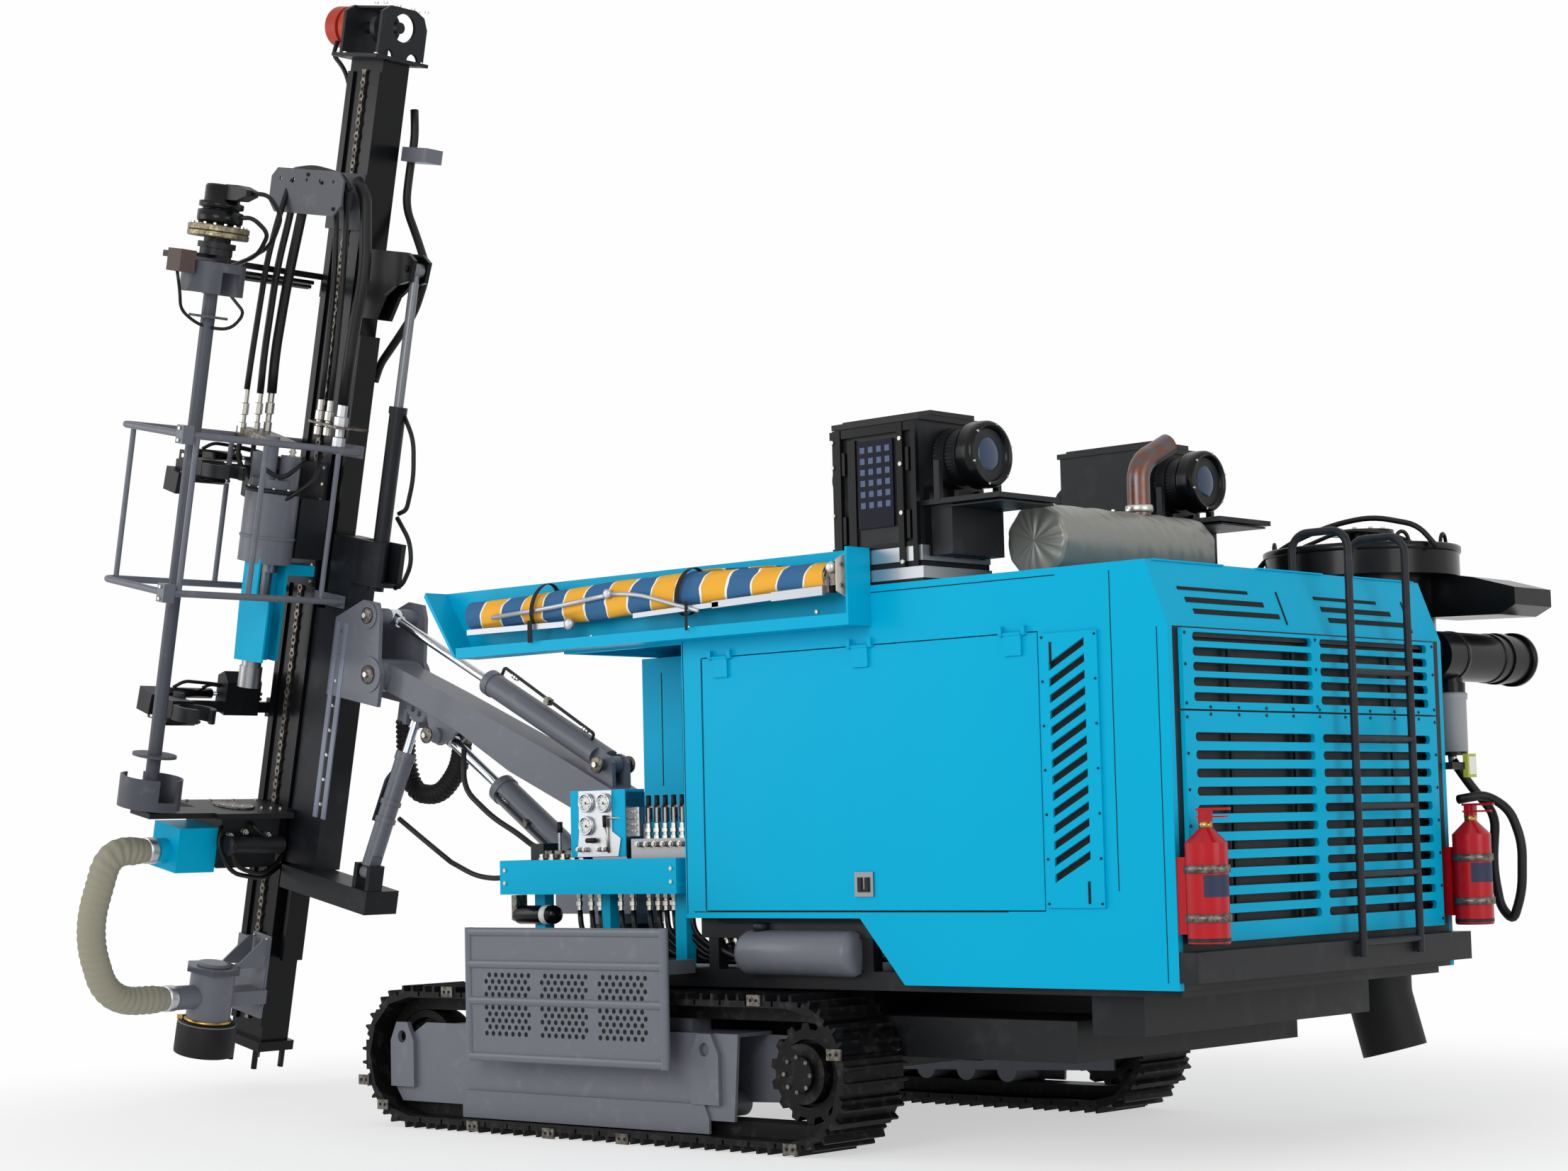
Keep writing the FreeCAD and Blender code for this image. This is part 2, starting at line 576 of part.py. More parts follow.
# Roof and canopy: one bent sheet with a lip at the front and a slope at the rear
roof = plate("RoofSheet", "XZ",
             [("-canopy_front", "canopy_low"), ("-canopy_front", "roof_high"),
              ("roof_rear", "roof_high"), ("house_rear", "bend_high"),
              ("house_rear - wall_thick", "bend_high"),
              ("roof_rear - 21", "roof_high - wall_thick"),
              ("-canopy_front + wall_thick", "roof_high - wall_thick"),
              ("-canopy_front + wall_thick", "canopy_low")],
             "house_width", "-house_width / 2")
roof_pieces = [roof]
for side_name, side in SIDES:
    roof_pieces.append(block("CanopyLip" + side_name,
                             ("canopy_front + house_front", "wall_thick", "roof_high - canopy_low"),
                             ("-canopy_front", "-house_width / 2" if side < 0
                              else "house_width / 2 - wall_thick", "canopy_low")))
keep(fuse("Roof", roof_pieces), "roof_panel")

# Front wall and the cabinet beside the controls
front = block("FrontPanel", ("wall_thick", "house_width - 2 * wall_thick",
                             "roof_high - wall_thick - sill_high"),
              ("house_front", "-house_width / 2 + wall_thick", "sill_high"))
cabinet = block("Cabinet", ("house_front + 410", "1450", "1118"), ("-410", "-450", "1120"))
cabinet_room = block("CabinetRoom", ("house_front + 360", "1390", "1058"),
                     ("-380", "-420", "1150"))
keep(fuse("FrontWall", [front, cut("CabinetShell", cabinet, [cabinet_room])]), "front_cabinet")

# Rear frame with two openings, the slotted grilles before them and the radiator behind
rear = block("RearPanel", ("wall_thick", "house_width - 2 * wall_thick", "bend_high - skirt_low"),
             ("house_rear - wall_thick", "-house_width / 2 + wall_thick", "skirt_low"))
rear_tools = [block("RearHoleLow", ("100", "1860", "seam_high - 950"),
                    ("house_rear - 60", "-945", "930")),
              block("RearHoleHigh", ("100", "1860", "bend_high - seam_high - 70"),
                    ("house_rear - 60", "-945", "seam_high + 30"))]
core = block("Core", ("core_thick", "1900", "1180"),
             ("house_rear - wall_thick - core_thick", "-950", "938"))
keep(fuse("RearFrame", [cut("RearCut", rear, rear_tools), core]), "rear_frame")


def slot(length, height, depth, corner):
    """A slot with round ends that passes through a plate along X."""
    x, y, z = corner
    half = height / 2
    low = Vector(x, y + half, z)
    high = Vector(x, y + length - half, z)
    top = Vector(0, 0, height)
    edges = [Part.LineSegment(low, high).toShape(),
             Part.Arc(high, Vector(x, y + length, z + half), high + top).toShape(),
             Part.LineSegment(high + top, low + top).toShape(),
             Part.Arc(low + top, Vector(x, y, z + half), low).toShape()]
    return Part.Face(Part.Wire(edges)).extrude(Vector(depth, 0, 0))


def grille_sheet(low, high, rows, pitch, first):
    """One grille sheet with two columns of round-ended slots."""
    thick = size("grille_thick")
    sheet_shape = Part.makeBox(thick, size("grille_left") + size("grille_right"), high - low,
                               Vector(size("house_rear"), -size("grille_left"), low))
    tools = []
    for row in range(rows):
        for column in (0, 1):
            y = -size("grille_left") + 70 + column * (size("slot_column") + size("slot_gap"))
            tools.append(slot(size("slot_column"), size("slot_height"), thick + 20,
                              (size("house_rear") - 10, y, first + row * pitch)))
    return sheet_shape.cut(Part.makeCompound(tools))


seam = size("seam_high")
grilles = [grille_sheet(900, seam - 4, int(size("low_slots")), size("low_slot_pitch"), 975),
           grille_sheet(seam + 4, size("bend_high") - 8, int(size("high_slots")),
                        size("high_slot_pitch"), seam + 35)]
keep(made("Grilles", Part.makeCompound(grilles)), "rear_grilles")

# Ladder hooked over the roof
ladder = []
out = size("ladder_out")
top = size("roof_high")
for y in (size("ladder_left"), size("ladder_right")):
    ladder.append(tube([(out, y, size("ladder_low")), (out, y, top + 170),
                        (size("roof_rear") - 60, y, top + 170),
                        (size("roof_rear") - 60, y, top)], 17, 80))
    ladder.append(Part.makeBox(out - size("house_rear") - size("bumper_depth"), 40, 50,
                               Vector(size("house_rear") + size("bumper_depth"), y - 20,
                                      size("ladder_low") + 5)))
for number in range(5):
    height = size("ladder_low") + 60 + number * size("rung_pitch")
    ladder.append(Part.makeCylinder(14, size("ladder_right") - size("ladder_left"),
                                    Vector(out, size("ladder_left"), height), Vector(0, 1, 0)))
keep(made("Ladder", ladder[0].fuse(ladder[1:]).removeSplitter()), "ladder")

# Fire extinguishers on the two rear corners
bottles = []
for number, y in enumerate((-1000, 1050)):
    x = size("ladder_out")
    radius = size("extinguisher_radius")
    body = Part.makeCylinder(radius, 390, Vector(x, y, 905))
    neck = Part.makeCone(radius, 24, 60, Vector(x, y, 1295))
    valve = Part.makeCylinder(20, size("extinguisher_high") - 1350, Vector(x, y, 1350))
    strap = Part.makeBox(x - size("house_rear") - radius + 12, 60, 300,
                         Vector(size("house_rear"), y - 45, 940))
    if number:
        strap = Part.makeBox(x - size("house_rear") - radius + 12, 60, 300,
                             Vector(size("house_rear"), y - 60, 940))
    for height in (990, 1180):
        body = body.fuse(Part.makeCylinder(radius + 6, 26, Vector(x, y, height)))
    bottles.append(body.fuse([neck, valve, strap]).removeSplitter())
keep(made("Extinguishers", Part.makeCompound(bottles)), "fire_extinguishers")

# Rubber discharge boot under the dust collector's cone
boot = tube([(size("collector_x"), size("collector_y"), 820.7),
             (size("collector_x"), size("collector_y"), 560),
             (size("collector_x") + 60, size("collector_y") + 20, 300)], 150, 260)
keep(made("Boot", boot), "discharge_boot")

# Roof units: two cabinets, each with a lens drum along the machine
roof_units = []
for side_name, side in SIDES:
    s = side_name.capitalize() + "Unit"
    y = "%d * unit_y" % side
    low = "(%s) - unit_width / 2" % y
    roof_units.append(fuse(s, [
        block(s + "Base", ("unit_rear - unit_front + 30", "unit_width + 10", "90"),
              ("unit_front - 15", "(%s) - 5" % low, "roof_high")),
        block(s + "Box", ("unit_rear - unit_front", "unit_width", "unit_high - roof_high - 90"),
              ("unit_front", low, "roof_high + 90")),
        block(s + "Cap", ("unit_rear - unit_front + 24", "unit_width + 16", "24"),
              ("unit_front - 12", "(%s) - 8" % low, "unit_high - 24")),
        block(s + "Shelf", ("430", "unit_width - 20", "22"),
              ("unit_rear - 10", "(%s) + 10" % low, "2745")),
        block(s + "Rib", ("150", "unit_width - 90", "215"),
              ("unit_rear - 10", "(%s) + 45" % low, "2532")),
        rod(s + "Drum", "lens_radius - 18", "lens_x - 1600", ("1580", y, "lens_z"), "X"),
        rod(s + "Ring", "lens_radius", "60", ("lens_x - 70", y, "lens_z"), "X"),
        rod(s + "RingRear", "lens_radius - 6", "45", ("unit_rear + 20", y, "lens_z"), "X"),
        rod(s + "Eyepiece", "84", "150", ("1270", y, "lens_z - 40"), "X"),
    ]))
keep(group("RoofUnits", roof_units), "roof_units")

# Muffler wrapped in cloth, its saddles and the bent exhaust
muffler = [rod("Wrap", "muffler_radius", "muffler_length",
               ("muffler_x", "-muffler_length / 2", "muffler_z"), "Y")]
for number, y in enumerate((-420, 360)):
    muffler.append(block("Saddle%d" % number, ("240", "60", "muffler_z - roof_high - 90"),
                         ("muffler_x - 120", str(y), "roof_high")))
keep(fuse("Muffler", muffler), "muffler_wrap")
x = size("muffler_x")
y = size("exhaust_y")
base = size("muffler_z") + size("muffler_radius") - 6
pipe = tube([(x, y, base), (x, y, base + 235), (x + 35, y + 190, base + 335)],
            size("exhaust_radius"), 130)
bore = tube([(x, y, base - 5), (x, y, base + 235), (x + 53, y + 285, base + 388)],
            size("exhaust_radius") - 5, 130)
foot = Part.makeCylinder(size("muffler_radius"), size("muffler_length"),
                         Vector(x, -size("muffler_length") / 2, size("muffler_z")),
                         Vector(0, 1, 0))
keep(made("Exhaust", pipe.cut(bore).cut(foot)), "exhaust_pipe")

# Awning tray on the left edge of the roof, and the rolled awning in it
awning_y = "-house_width / 2 - awning_depth"
tray_pieces = [
    plate("AwningBack", "XZ", [("-awning_front + 230", "awning_low"), ("awning_rear", "awning_low"),
                               ("awning_rear", "awning_high"), ("-awning_front", "awning_high")],
          "12", "-house_width / 2 - 12"),
    block("AwningFloor", ("awning_front + awning_rear - 230", "awning_depth - 10", "12"),
          ("-awning_front + 230", awning_y, "awning_low")),
    block("AwningLip", ("awning_front + awning_rear - 230", "10", "50"),
          ("-awning_front + 230", awning_y, "awning_low")),
    block("AwningEnd", ("12", "awning_depth", "awning_high - awning_low"),
          ("awning_rear - 12", awning_y, "awning_low")),
    plate("AwningSlant", "XZ",
          [("-awning_front", "awning_high - 20"), ("-awning_front + 216", "awning_low"),
           ("-awning_front + 232", "awning_low"), ("-awning_front + 12", "awning_high")],
          "awning_depth", awning_y)]
keep(fuse("AwningTray", tray_pieces), "awning_tray")
roll = [rod("AwningRoll", "roll_radius", "awning_front + awning_rear - 420",
            ("-awning_front + 280", "-house_width / 2 - 82", "roll_z"), "X"),
        rod("AwningAxle", "26", "awning_front + awning_rear - 292",
            ("-awning_front + 280", "-house_width / 2 - 82", "roll_z"), "X"),
        block("AwningArm", ("46", "70", "60"), ("-awning_front + 330", "-house_width / 2 - 82",
                                                "roll_z - 30")),
        block("AwningFoot", ("awning_front + awning_rear - 460", "44", "32"),
              ("-awning_front + 300", "-house_width / 2 - 126", "roll_z - roll_radius - 22"))]
keep(fuse("AwningRollSolid", roll), "awning_roll")

# Controls at the front left: a tray on posts, a gauge box and a bank of levers
tray = block("Tray", ("tray_rear - tray_front", "tray_outer - tray_inner",
                      "tray_high - tray_low"), ("tray_front", "-tray_outer", "tray_low"))
tray_room = block("TrayRoom", ("tray_rear - tray_front - 24", "tray_outer - tray_inner - 24",
                               "tray_high - tray_low"),
                  ("tray_front + 12", "-tray_outer + 12", "tray_low + 12"))
tray_pieces = [cut("TrayShell", tray, [tray_room])]
for number, x in enumerate((-700, -250, 250)):
    tray_pieces.append(block("TrayPost%d" % number, ("70", "60", "tray_low - deck_high"),
                             (str(x), "-920", "deck_high")))
keep(fuse("TraySolid", tray_pieces), "control_tray")
valves = [block("ValveBank", ("tray_rear - 30", "180", "240"), ("10", "-960", "tray_low + 12")),
          block("GaugeBox", ("230", "120", "460"), ("-250", "-960", "tray_low + 12")),
          block("ValveStack", ("330", "200", "150"), ("-640", "-940", "tray_low + 12"))]
for number in range(6):
    valves.append(rod("Lever%d" % number, "9", "190",
                      (str(70 + number * 55), "-900", "tray_low + 245")))
for number, x in enumerate((-580, -430)):
    valves.append(rod("StackLever%d" % number, "10", "170", (str(x), "-860", "tray_low + 160")))
keep(group("Valves", [fuse("ValvesFront", valves[:2] + valves[3:9]),
                      fuse("ValvesStack", valves[2:3] + valves[9:])]), "control_valves")

# Dust collector at the rear right and its air filter
collector = [
    rod("CollectorBody", "collector_radius", "1400", ("collector_x", "collector_y", "1150")),
    rod("CollectorLid", "lid_radius", "lid_high - lid_low",
        ("collector_x", "collector_y", "lid_low")),
    rod("LidPost", "64", "84", ("collector_x", "collector_y", "lid_high - 1")),
    rod("LidWheel", "155", "16", ("collector_x", "collector_y", "lid_high + 82")),
    plate("IntakeHood", "XZ", [("2780", "2300"), ("3190", "2290"), ("3270", "2330"),
                               ("3270", "2410"), ("3060", "2470"), ("2900", "lid_low + 8"),
                               ("2780", "lid_low + 8")], "340", "1500"),
    block("CollectorArm", ("240", "collector_y - house_width / 2 - 200", "140"),
          ("collector_x - 120", "house_width / 2", "2150")),
    block("CollectorArmLow", ("240", "collector_y - house_width / 2 - 200", "140"),
          ("collector_x - 120", "house_width / 2", "1250")),
]
cone = doc.addObject("Part::Cone", "CollectorCone")
bind(cone, Radius1="150", Radius2="collector_radius", Height="330")
place(cone, ("collector_x", "collector_y", "821"))
cleaner = [rod("CleanerDrum", "112", "760", ("3030", "house_width / 2 + 90", "2100"), "Y"),
           rod("CleanerCap", "120", "50", ("3030", "house_width / 2 + 660", "2100"), "Y"),
           rod("FilterBowl", "70", "330", ("3030", "house_width / 2 + 250", "1650")),
           rod("FilterHead", "60", "30", ("3030", "house_width / 2 + 250", "1975")),
           block("CleanerFoot", ("90", "150", "90"), ("2985", "house_width / 2", "2055"))]
keep(group("DustAndAir", [fuse("Collector", collector + [cone]), fuse("Cleaner", cleaner)]),
     "dust_collector")


# Boom post on its turntable
post = [rod("PostDisc", "190", "50", ("post_x", "0", "935")),
        block("PostBlock", ("280", "202", "195"), ("post_x - 140", "-101", "985"))]
ear_outline = [("post_x - 390", "985"), ("post_x - 390", "1260"), ("post_x - 340", "1300"),
               ("post_x - 210", "1300"), ("post_x - 50", "1560"), ("foot_x - 50", "foot_z + 100"),
               ("foot_x + 50", "foot_z + 100"), ("foot_x + 100", "foot_z + 50"),
               ("foot_x + 110", "985")]
half = "boom_width / 2 + side_clearance"
for side_name, side in SIDES:
    start = "-(%s) - ear_thick" % half if side < 0 else half
    post.append(plate("PostEar" + side_name, "XZ", ear_outline, "ear_thick", start))
    start = "-(%s)" % half if side < 0 else "eye_width / 2 + side_clearance"
    post.append(rod("LiftCollar" + side_name, "46", "(%s) - eye_width / 2 - side_clearance" % half,
                    ("lift_base_x", start, "lift_base_z"), "Y"))
post += [rod("FootPin", "pin_radius", "boom_width + 2 * side_clearance + 2 * ear_thick + 24",
             ("foot_x", "-(%s) - ear_thick - 12" % half, "foot_z"), "Y"),
         rod("LiftPin", "30", "boom_width + 2 * side_clearance + 20",
             ("lift_base_x", "-(%s) - 10" % half, "lift_base_z"), "Y"),
         block("SwingArmLow", ("100", "170", "34"), ("post_x - 50", "130", "985")),
         block("SwingArmHigh", ("100", "170", "25"), ("post_x - 50", "130", "1101"))]
bore = rod("PostBore", "60 + pin_play", "300", ("post_x", "0", "900"))
keep(cut("Post", fuse("PostSolid", post), [bore]), "boom_post")

# Boom: points are given along the line from foot pin to head pin and across it
BOOM = "sqrt((head_x - foot_x)^2 + (head_z - foot_z)^2)"


def on_boom(s, t):
    """The expressions of a point s along the boom and t above its line."""
    return ("foot_x + ((%s) * (head_x - foot_x) + (%s) * (head_z - foot_z)) / %s" % (s, t, BOOM),
            "foot_z + ((%s) * (head_z - foot_z) - (%s) * (head_x - foot_x)) / %s" % (s, t, BOOM))


boom_line = [(-75, -60), (0, -90), (350, -112), (850, -110), (1330, -60), (1650, -56),
             (1960, -66), (2094, -60), (2129, 0), (2094, 75), (1980, 85), (1500, 95),
             (500, 100), (260, 92), (0, 85), (-60, 62), (-85, 0)]
boom = [plate("BoomBox", "XZ", [on_boom(s, t) for s, t in boom_line], "boom_width",
              "-boom_width / 2"),
        rod("BoomHead", "90", "288", ("head_x", "-144", "head_z"), "Y")]
lug_line = [(1330, -50), (1420, -165), (1462, -198), (1512, -198), (1554, -165), (1640, -48)]
dump_line = [(110, 80), (165, 205), (195, 225), (242, 225), (275, 205), (335, 80)]
for side_name, side in SIDES:
    start = "-eye_width / 2 - side_clearance - 25" if side < 0 else "eye_width / 2 + side_clearance"
    boom.append(plate("LiftLug" + side_name, "XZ", [on_boom(s, t) for s, t in lug_line], "25",
                      start))
    boom.append(plate("DumpLug" + side_name, "XZ", [on_boom(s, t) for s, t in dump_line], "25",
                      start))
    boom.append(rod("LiftBoss" + side_name, "42", "24",
                    ("lift_eye_x", "-eye_width / 2 - 55" if side < 0 else "eye_width / 2 + 31",
                     "lift_eye_z"), "Y"))
boom += [rod("DumpPin", "30", "160", ("dump_base_x", "-80", "dump_base_z"), "Y"),
         plate("BoomWeb", "XZ", [on_boom(s, t) for s, t in
                                 ((1660, -48), (1700, -150), (1760, -175), (1830, -150),
                                  (1910, -56))], "20", "-10")]
bores = [rod("BoomFootBore", "pin_radius + pin_play", "400", ("foot_x", "-200", "foot_z"), "Y"),
         rod("BoomHeadBore", "pin_radius + pin_play", "400", ("head_x", "-200", "head_z"), "Y")]
for number, (s, t) in enumerate(((1740, -118), (1800, -112))):
    x, z = on_boom(s, t)
    bores.append(rod("WebHole%d" % number, "17", "40", (x, "-20", z), "Y"))
keep(cut("Boom", fuse("BoomSolid", boom), bores), "boom")


def ram(name, base, eye, pivot, barrel_radius, rod_radius, barrel, inside, eye_radius, pin=25):
    """A cylinder between two points: its barrel with a pinned foot, its rod with a plain eye."""
    base = Vector(*base)
    eye = Vector(*eye)
    ahead = eye - base
    length = ahead.Length
    ahead.normalize()
    pivot = Vector(*pivot)
    wide = size("eye_width")
    play = size("pin_play")
    tube_shape = Part.makeCylinder(barrel_radius, barrel - 32, base + ahead * 32, ahead)
    collar = Part.makeCylinder(barrel_radius + 6, 46, base + ahead * (barrel - 46), ahead)
    foot = Part.makeCylinder(eye_radius + 4, wide, base - pivot * wide / 2, pivot)
    outer = tube_shape.fuse([collar, foot])
    if barrel_radius > wide / 2 + 5:
        flat = Part.makeCylinder(barrel_radius + 48, 90, base + pivot * (wide / 2), pivot)
        other = Part.makeCylinder(barrel_radius + 48, 90, base - pivot * (wide / 2), -pivot)
        outer = outer.cut(flat).cut(other)
    room = Part.makeCylinder(rod_radius + play, barrel, base + ahead * 70, ahead)
    hole = Part.makeCylinder(pin + play, wide + 20, base - pivot * (wide / 2 + 10), pivot)
    outer = outer.cut(room).cut(hole)
    bar = Part.makeCylinder(rod_radius, length - (barrel - inside), base + ahead * (barrel - inside),
                            ahead)
    end = Part.makeCylinder(eye_radius, wide, eye - pivot * wide / 2, pivot)
    neck = Part.makeCylinder(rod_radius + 9, 30 + eye_radius, eye - ahead * (30 + eye_radius),
                             ahead)
    return made(name + "Barrel", outer.removeSplitter()), made(
        name + "Rod", bar.fuse([end, neck]).removeSplitter())


across = (0, 1, 0)
lift_base = (size("lift_base_x"), 0, size("lift_base_z"))
lift_eye = (size("lift_eye_x"), 0, size("lift_eye_z"))
barrel_made, rod_made = ram("Lift", lift_base, lift_eye, across, size("lift_barrel_radius"),
                            size("lift_rod_radius"), 775, 330, 40, 30)
keep(barrel_made, "lift_barrel")
keep(rod_made, "lift_rod")


def on_mast(u, y, w):
    """A point of the mast frame in the machine's frame."""
    lean = math.radians(size("lean"))
    return (size("head_x") + u * math.cos(lean) + w * math.sin(lean), y,
            size("head_z") - u * math.sin(lean) + w * math.cos(lean))


dump_base = (size("dump_base_x"), 0, size("dump_base_z"))
dump_eye = on_mast(size("tilt_pin_u"), 0, size("tilt_pin_w"))
barrel_made, rod_made = ram("Dump", dump_base, dump_eye, across, size("dump_barrel_radius"),
                            size("dump_rod_radius"), 1050, 480, 42, 30)
keep(barrel_made, "dump_barrel")
keep(rod_made, "dump_rod")
barrel_made, rod_made = ram("Swing", (-330, 300, 1060), (size("post_x"), 250, 1060), (0, 0, 1),
                            34, 20, 420, 205, 38)
keep(barrel_made, "swing_barrel")
keep(rod_made, "swing_rod")
roll_base = (size("roll_cyl_u"), size("roll_base_y"), size("roll_base_w"))
roll_eye = (size("roll_cyl_u"), size("roll_eye_y"), size("roll_eye_w"))
barrel_made, rod_made = ram("Roll", roll_base, roll_eye, (1, 0, 0), size("roll_barrel_radius"),
                            size("roll_rod_radius"), 690, 160, 34)
keep(lean_back(barrel_made), "roll_barrel")
keep(lean_back(rod_made), "roll_rod")

# Head bracket, hung on the boom's head pin; it carries the roll pin
bracket_line = [("bracket_back", "bracket_low"), ("100", "bracket_low"), ("100", "20"),
                ("60", "90"), ("25", "tilt_pin_w + 10"), ("-10", "tilt_pin_w + 80"),
                ("-130", "tilt_pin_w + 80"), ("bracket_back", "270")]
bracket = [block("BracketBack", ("30", "2 * bracket_half", "270 - bracket_low"),
                 ("bracket_back", "-bracket_half", "bracket_low")),
           rod("HeadPin", "pin_radius", "2 * bracket_half + 30", ("0", "-bracket_half - 15", "0"),
               "Y"),
           rod("RollPin", "roll_pin_radius", "130", ("bracket_back - 110", "0", "roll_w"), "X"),
           block("RollArm", ("300", "25", "205"), ("-100", "bracket_half - 25", "-265")),
           block("RollEarNear", ("29", "95", "87"), ("60", "55", "-262")),
           block("RollEarFar", ("29", "95", "87"), ("171", "55", "-262"))]
for side_name, side in SIDES:
    start = "-bracket_half" if side < 0 else "bracket_half - 25"
    bracket.append(plate("BracketSide" + side_name, "XZ", bracket_line, "25", start))
    start = "-bracket_half + 5" if side < 0 else "eye_width / 2 + side_clearance"
    bracket.append(rod("TiltTube" + side_name, "45", "bracket_half - eye_width / 2 - side_clearance - 5",
                       ("tilt_pin_u", start, "tilt_pin_w"), "Y"))
    for label, radius, u, w in (("Head", "98", "0", "0"), ("Tilt", "74", "tilt_pin_u",
                                                          "tilt_pin_w")):
        start = "-bracket_half - 8" if side < 0 else "bracket_half"
        bracket.append(rod("Boss%s%s" % (label, side_name), radius, "8", (u, start, w), "Y"))
keep(lean_back(fuse("HeadBracket", bracket)), "head_bracket")

# Cradle that rolls on the bracket's pin and holds the feed beam's slide
cradle = [block("CradleBox", ("cradle_back_u - cradle_front_u", "cradle_depth", "720 - cradle_low"),
                ("cradle_front_u", "-cradle_depth / 2", "cradle_low")),
          block("CradleFoot", ("765", "230", "130"), ("cradle_front_u", "-170", "cradle_low - 130")),
          rod("RollFootPin", "25", "140", ("60", "roll_base_y", "roll_base_w"), "X"),
          block("RollFootNear", ("29", "100", "150"), ("60", "roll_base_y - 50", "-1190")),
          block("RollFootFar", ("29", "100", "150"), ("171", "roll_base_y - 50", "-1190")),
          block("CoverFloor", ("225", "180", "25"), ("cradle_back_u", "-90", "470")),
          rod("ExtendBarrel", "extend_barrel_radius", "extend_top - 440", ("extend_u", "0", "440")),
          rod("ExtendCollar", "extend_barrel_radius + 6", "40", ("extend_u", "0",
                                                                 "extend_top - 40"))]
for side_name, side in SIDES:
    low = -90 if side < 0 else 76
    cradle.append(block("ClawSide" + side_name, ("80", "14", "cradle_high - cradle_low"),
                        ("-640", str(low), "cradle_low")))
    low = -77 if side < 0 else 46
    cradle.append(block("ClawLip" + side_name, ("34", "31", "cradle_high - cradle_low"),
                        ("-640", str(low), "cradle_low")))
    low = -90 if side < 0 else 60
    cradle.append(block("Cover" + side_name, ("225", "30", "250"), ("cradle_back_u", str(low),
                                                                   "470")))
cradle_tools = [rod("RollBore", "roll_pin_radius + pin_play", "120", ("-470", "0", "roll_w"), "X"),
                rod("ExtendBore", "extend_rod_radius + pin_play", "1200", ("extend_u", "0", "500"))]
keep(lean_back(cut("Cradle", fuse("CradleSolid", cradle), cradle_tools)), "feed_cradle")

# Feed beam: a hollow column with a T slide at its back and two rails on its left face
column = block("Column", ("beam_back_u - beam_front_u", "2 * beam_half_y",
                          "beam_high - beam_low"), ("beam_front_u", "-beam_half_y", "beam_low"))
hollow = block("ColumnRoom", ("beam_back_u - beam_front_u - 2 * beam_wall",
                              "2 * beam_half_y - 2 * beam_wall", "beam_high - beam_low"),
               ("beam_front_u + beam_wall", "-beam_half_y + beam_wall", "beam_low - 20"))
beam = [cut("ColumnShell", column, [hollow]),
        block("SlideWeb", ("46", "80", "3600"), ("-646", "-40", "-1750")),
        block("SlideFlange", ("28", "140", "3600"), ("-600", "-70", "-1750")),
        block("RailFront", ("rail_width", "rail_proud + 1", "beam_high - beam_low - 210"),
              ("beam_front_u", "-beam_half_y - rail_proud", "beam_low + 140")),
        block("RailBack", ("rail_width", "rail_proud + 1", "beam_high - beam_low - 210"),
              ("beam_back_u - rail_width", "-beam_half_y - rail_proud", "beam_low + 140")),
        block("FootCollar", ("340", "250", "55"), ("-957", "-130", "beam_low")),
        rod("RodPin", "20", "150", ("extend_u", "-75", "extend_eye_w"), "Y")]
for side_name, side in SIDES:
    start = "-66" if side < 0 else "41"
    beam.append(plate("RodBracket" + side_name, "XZ",
                      [("-646", "1950"), ("-480", "1950"), ("-420", "2090"), ("-340", "2150"),
                       ("-210", "2185"), ("-195", "2300"), ("-260", "2340"), ("-646", "2340")],
                      "25", start))
for number, (u, y) in enumerate(((-900, -100), (-675, -100), (-900, 90), (-675, 90))):
    beam.append(rod("Spike%d" % number, "17", "120", (str(u), str(y), "beam_low - 112")))
beam_tools = [block("CollarRoom", ("253", "158", "200"), ("-914", "-79", "beam_low - 100"))]
keep(lean_back(cut("Beam", fuse("BeamSolid", beam), beam_tools)), "feed_beam")
rod_bar = rod("ExtendRod", "extend_rod_radius", "extend_eye_w - 1100", ("extend_u", "0", "1100"))
rod_eye = rod("ExtendEye", "40", "eye_width", ("extend_u", "-eye_width / 2", "extend_eye_w"), "Y")
rod_bore = rod("ExtendEyeBore", "20 + pin_play", "200", ("extend_u", "-100", "extend_eye_w"), "Y")
keep(lean_back(cut("ExtendRodCut", fuse("ExtendRodSolid", [rod_bar, rod_eye]), [rod_bore])),
     "extension_rod")

# Feed chain between the rails
chain_points = []
low = size("beam_low") + 160
links = int((size("beam_high") - low - 40) / 76)
for way in (1, -1):
    order = range(links) if way > 0 else range(links - 1, -1, -1)
    for number in order:
        steps = ((0, 21), (20, 13), (56, 13), (76, 21))
        for step, wide in (steps if way > 0 else reversed(steps)):
            chain_points.append(Vector(-787 + way * wide, -110.5, low + number * 76 + step))
cleaned = [chain_points[0]]
for point in chain_points[1:]:
    if (point - cleaned[-1]).Length > 1e-6:
        cleaned.append(point)
chain_shape = Part.Face(Part.makePolygon(cleaned + [cleaned[0]])).extrude(Vector(0, 14, 0))
keep(lean_back(made("FeedChain", chain_shape)), "feed_chain")

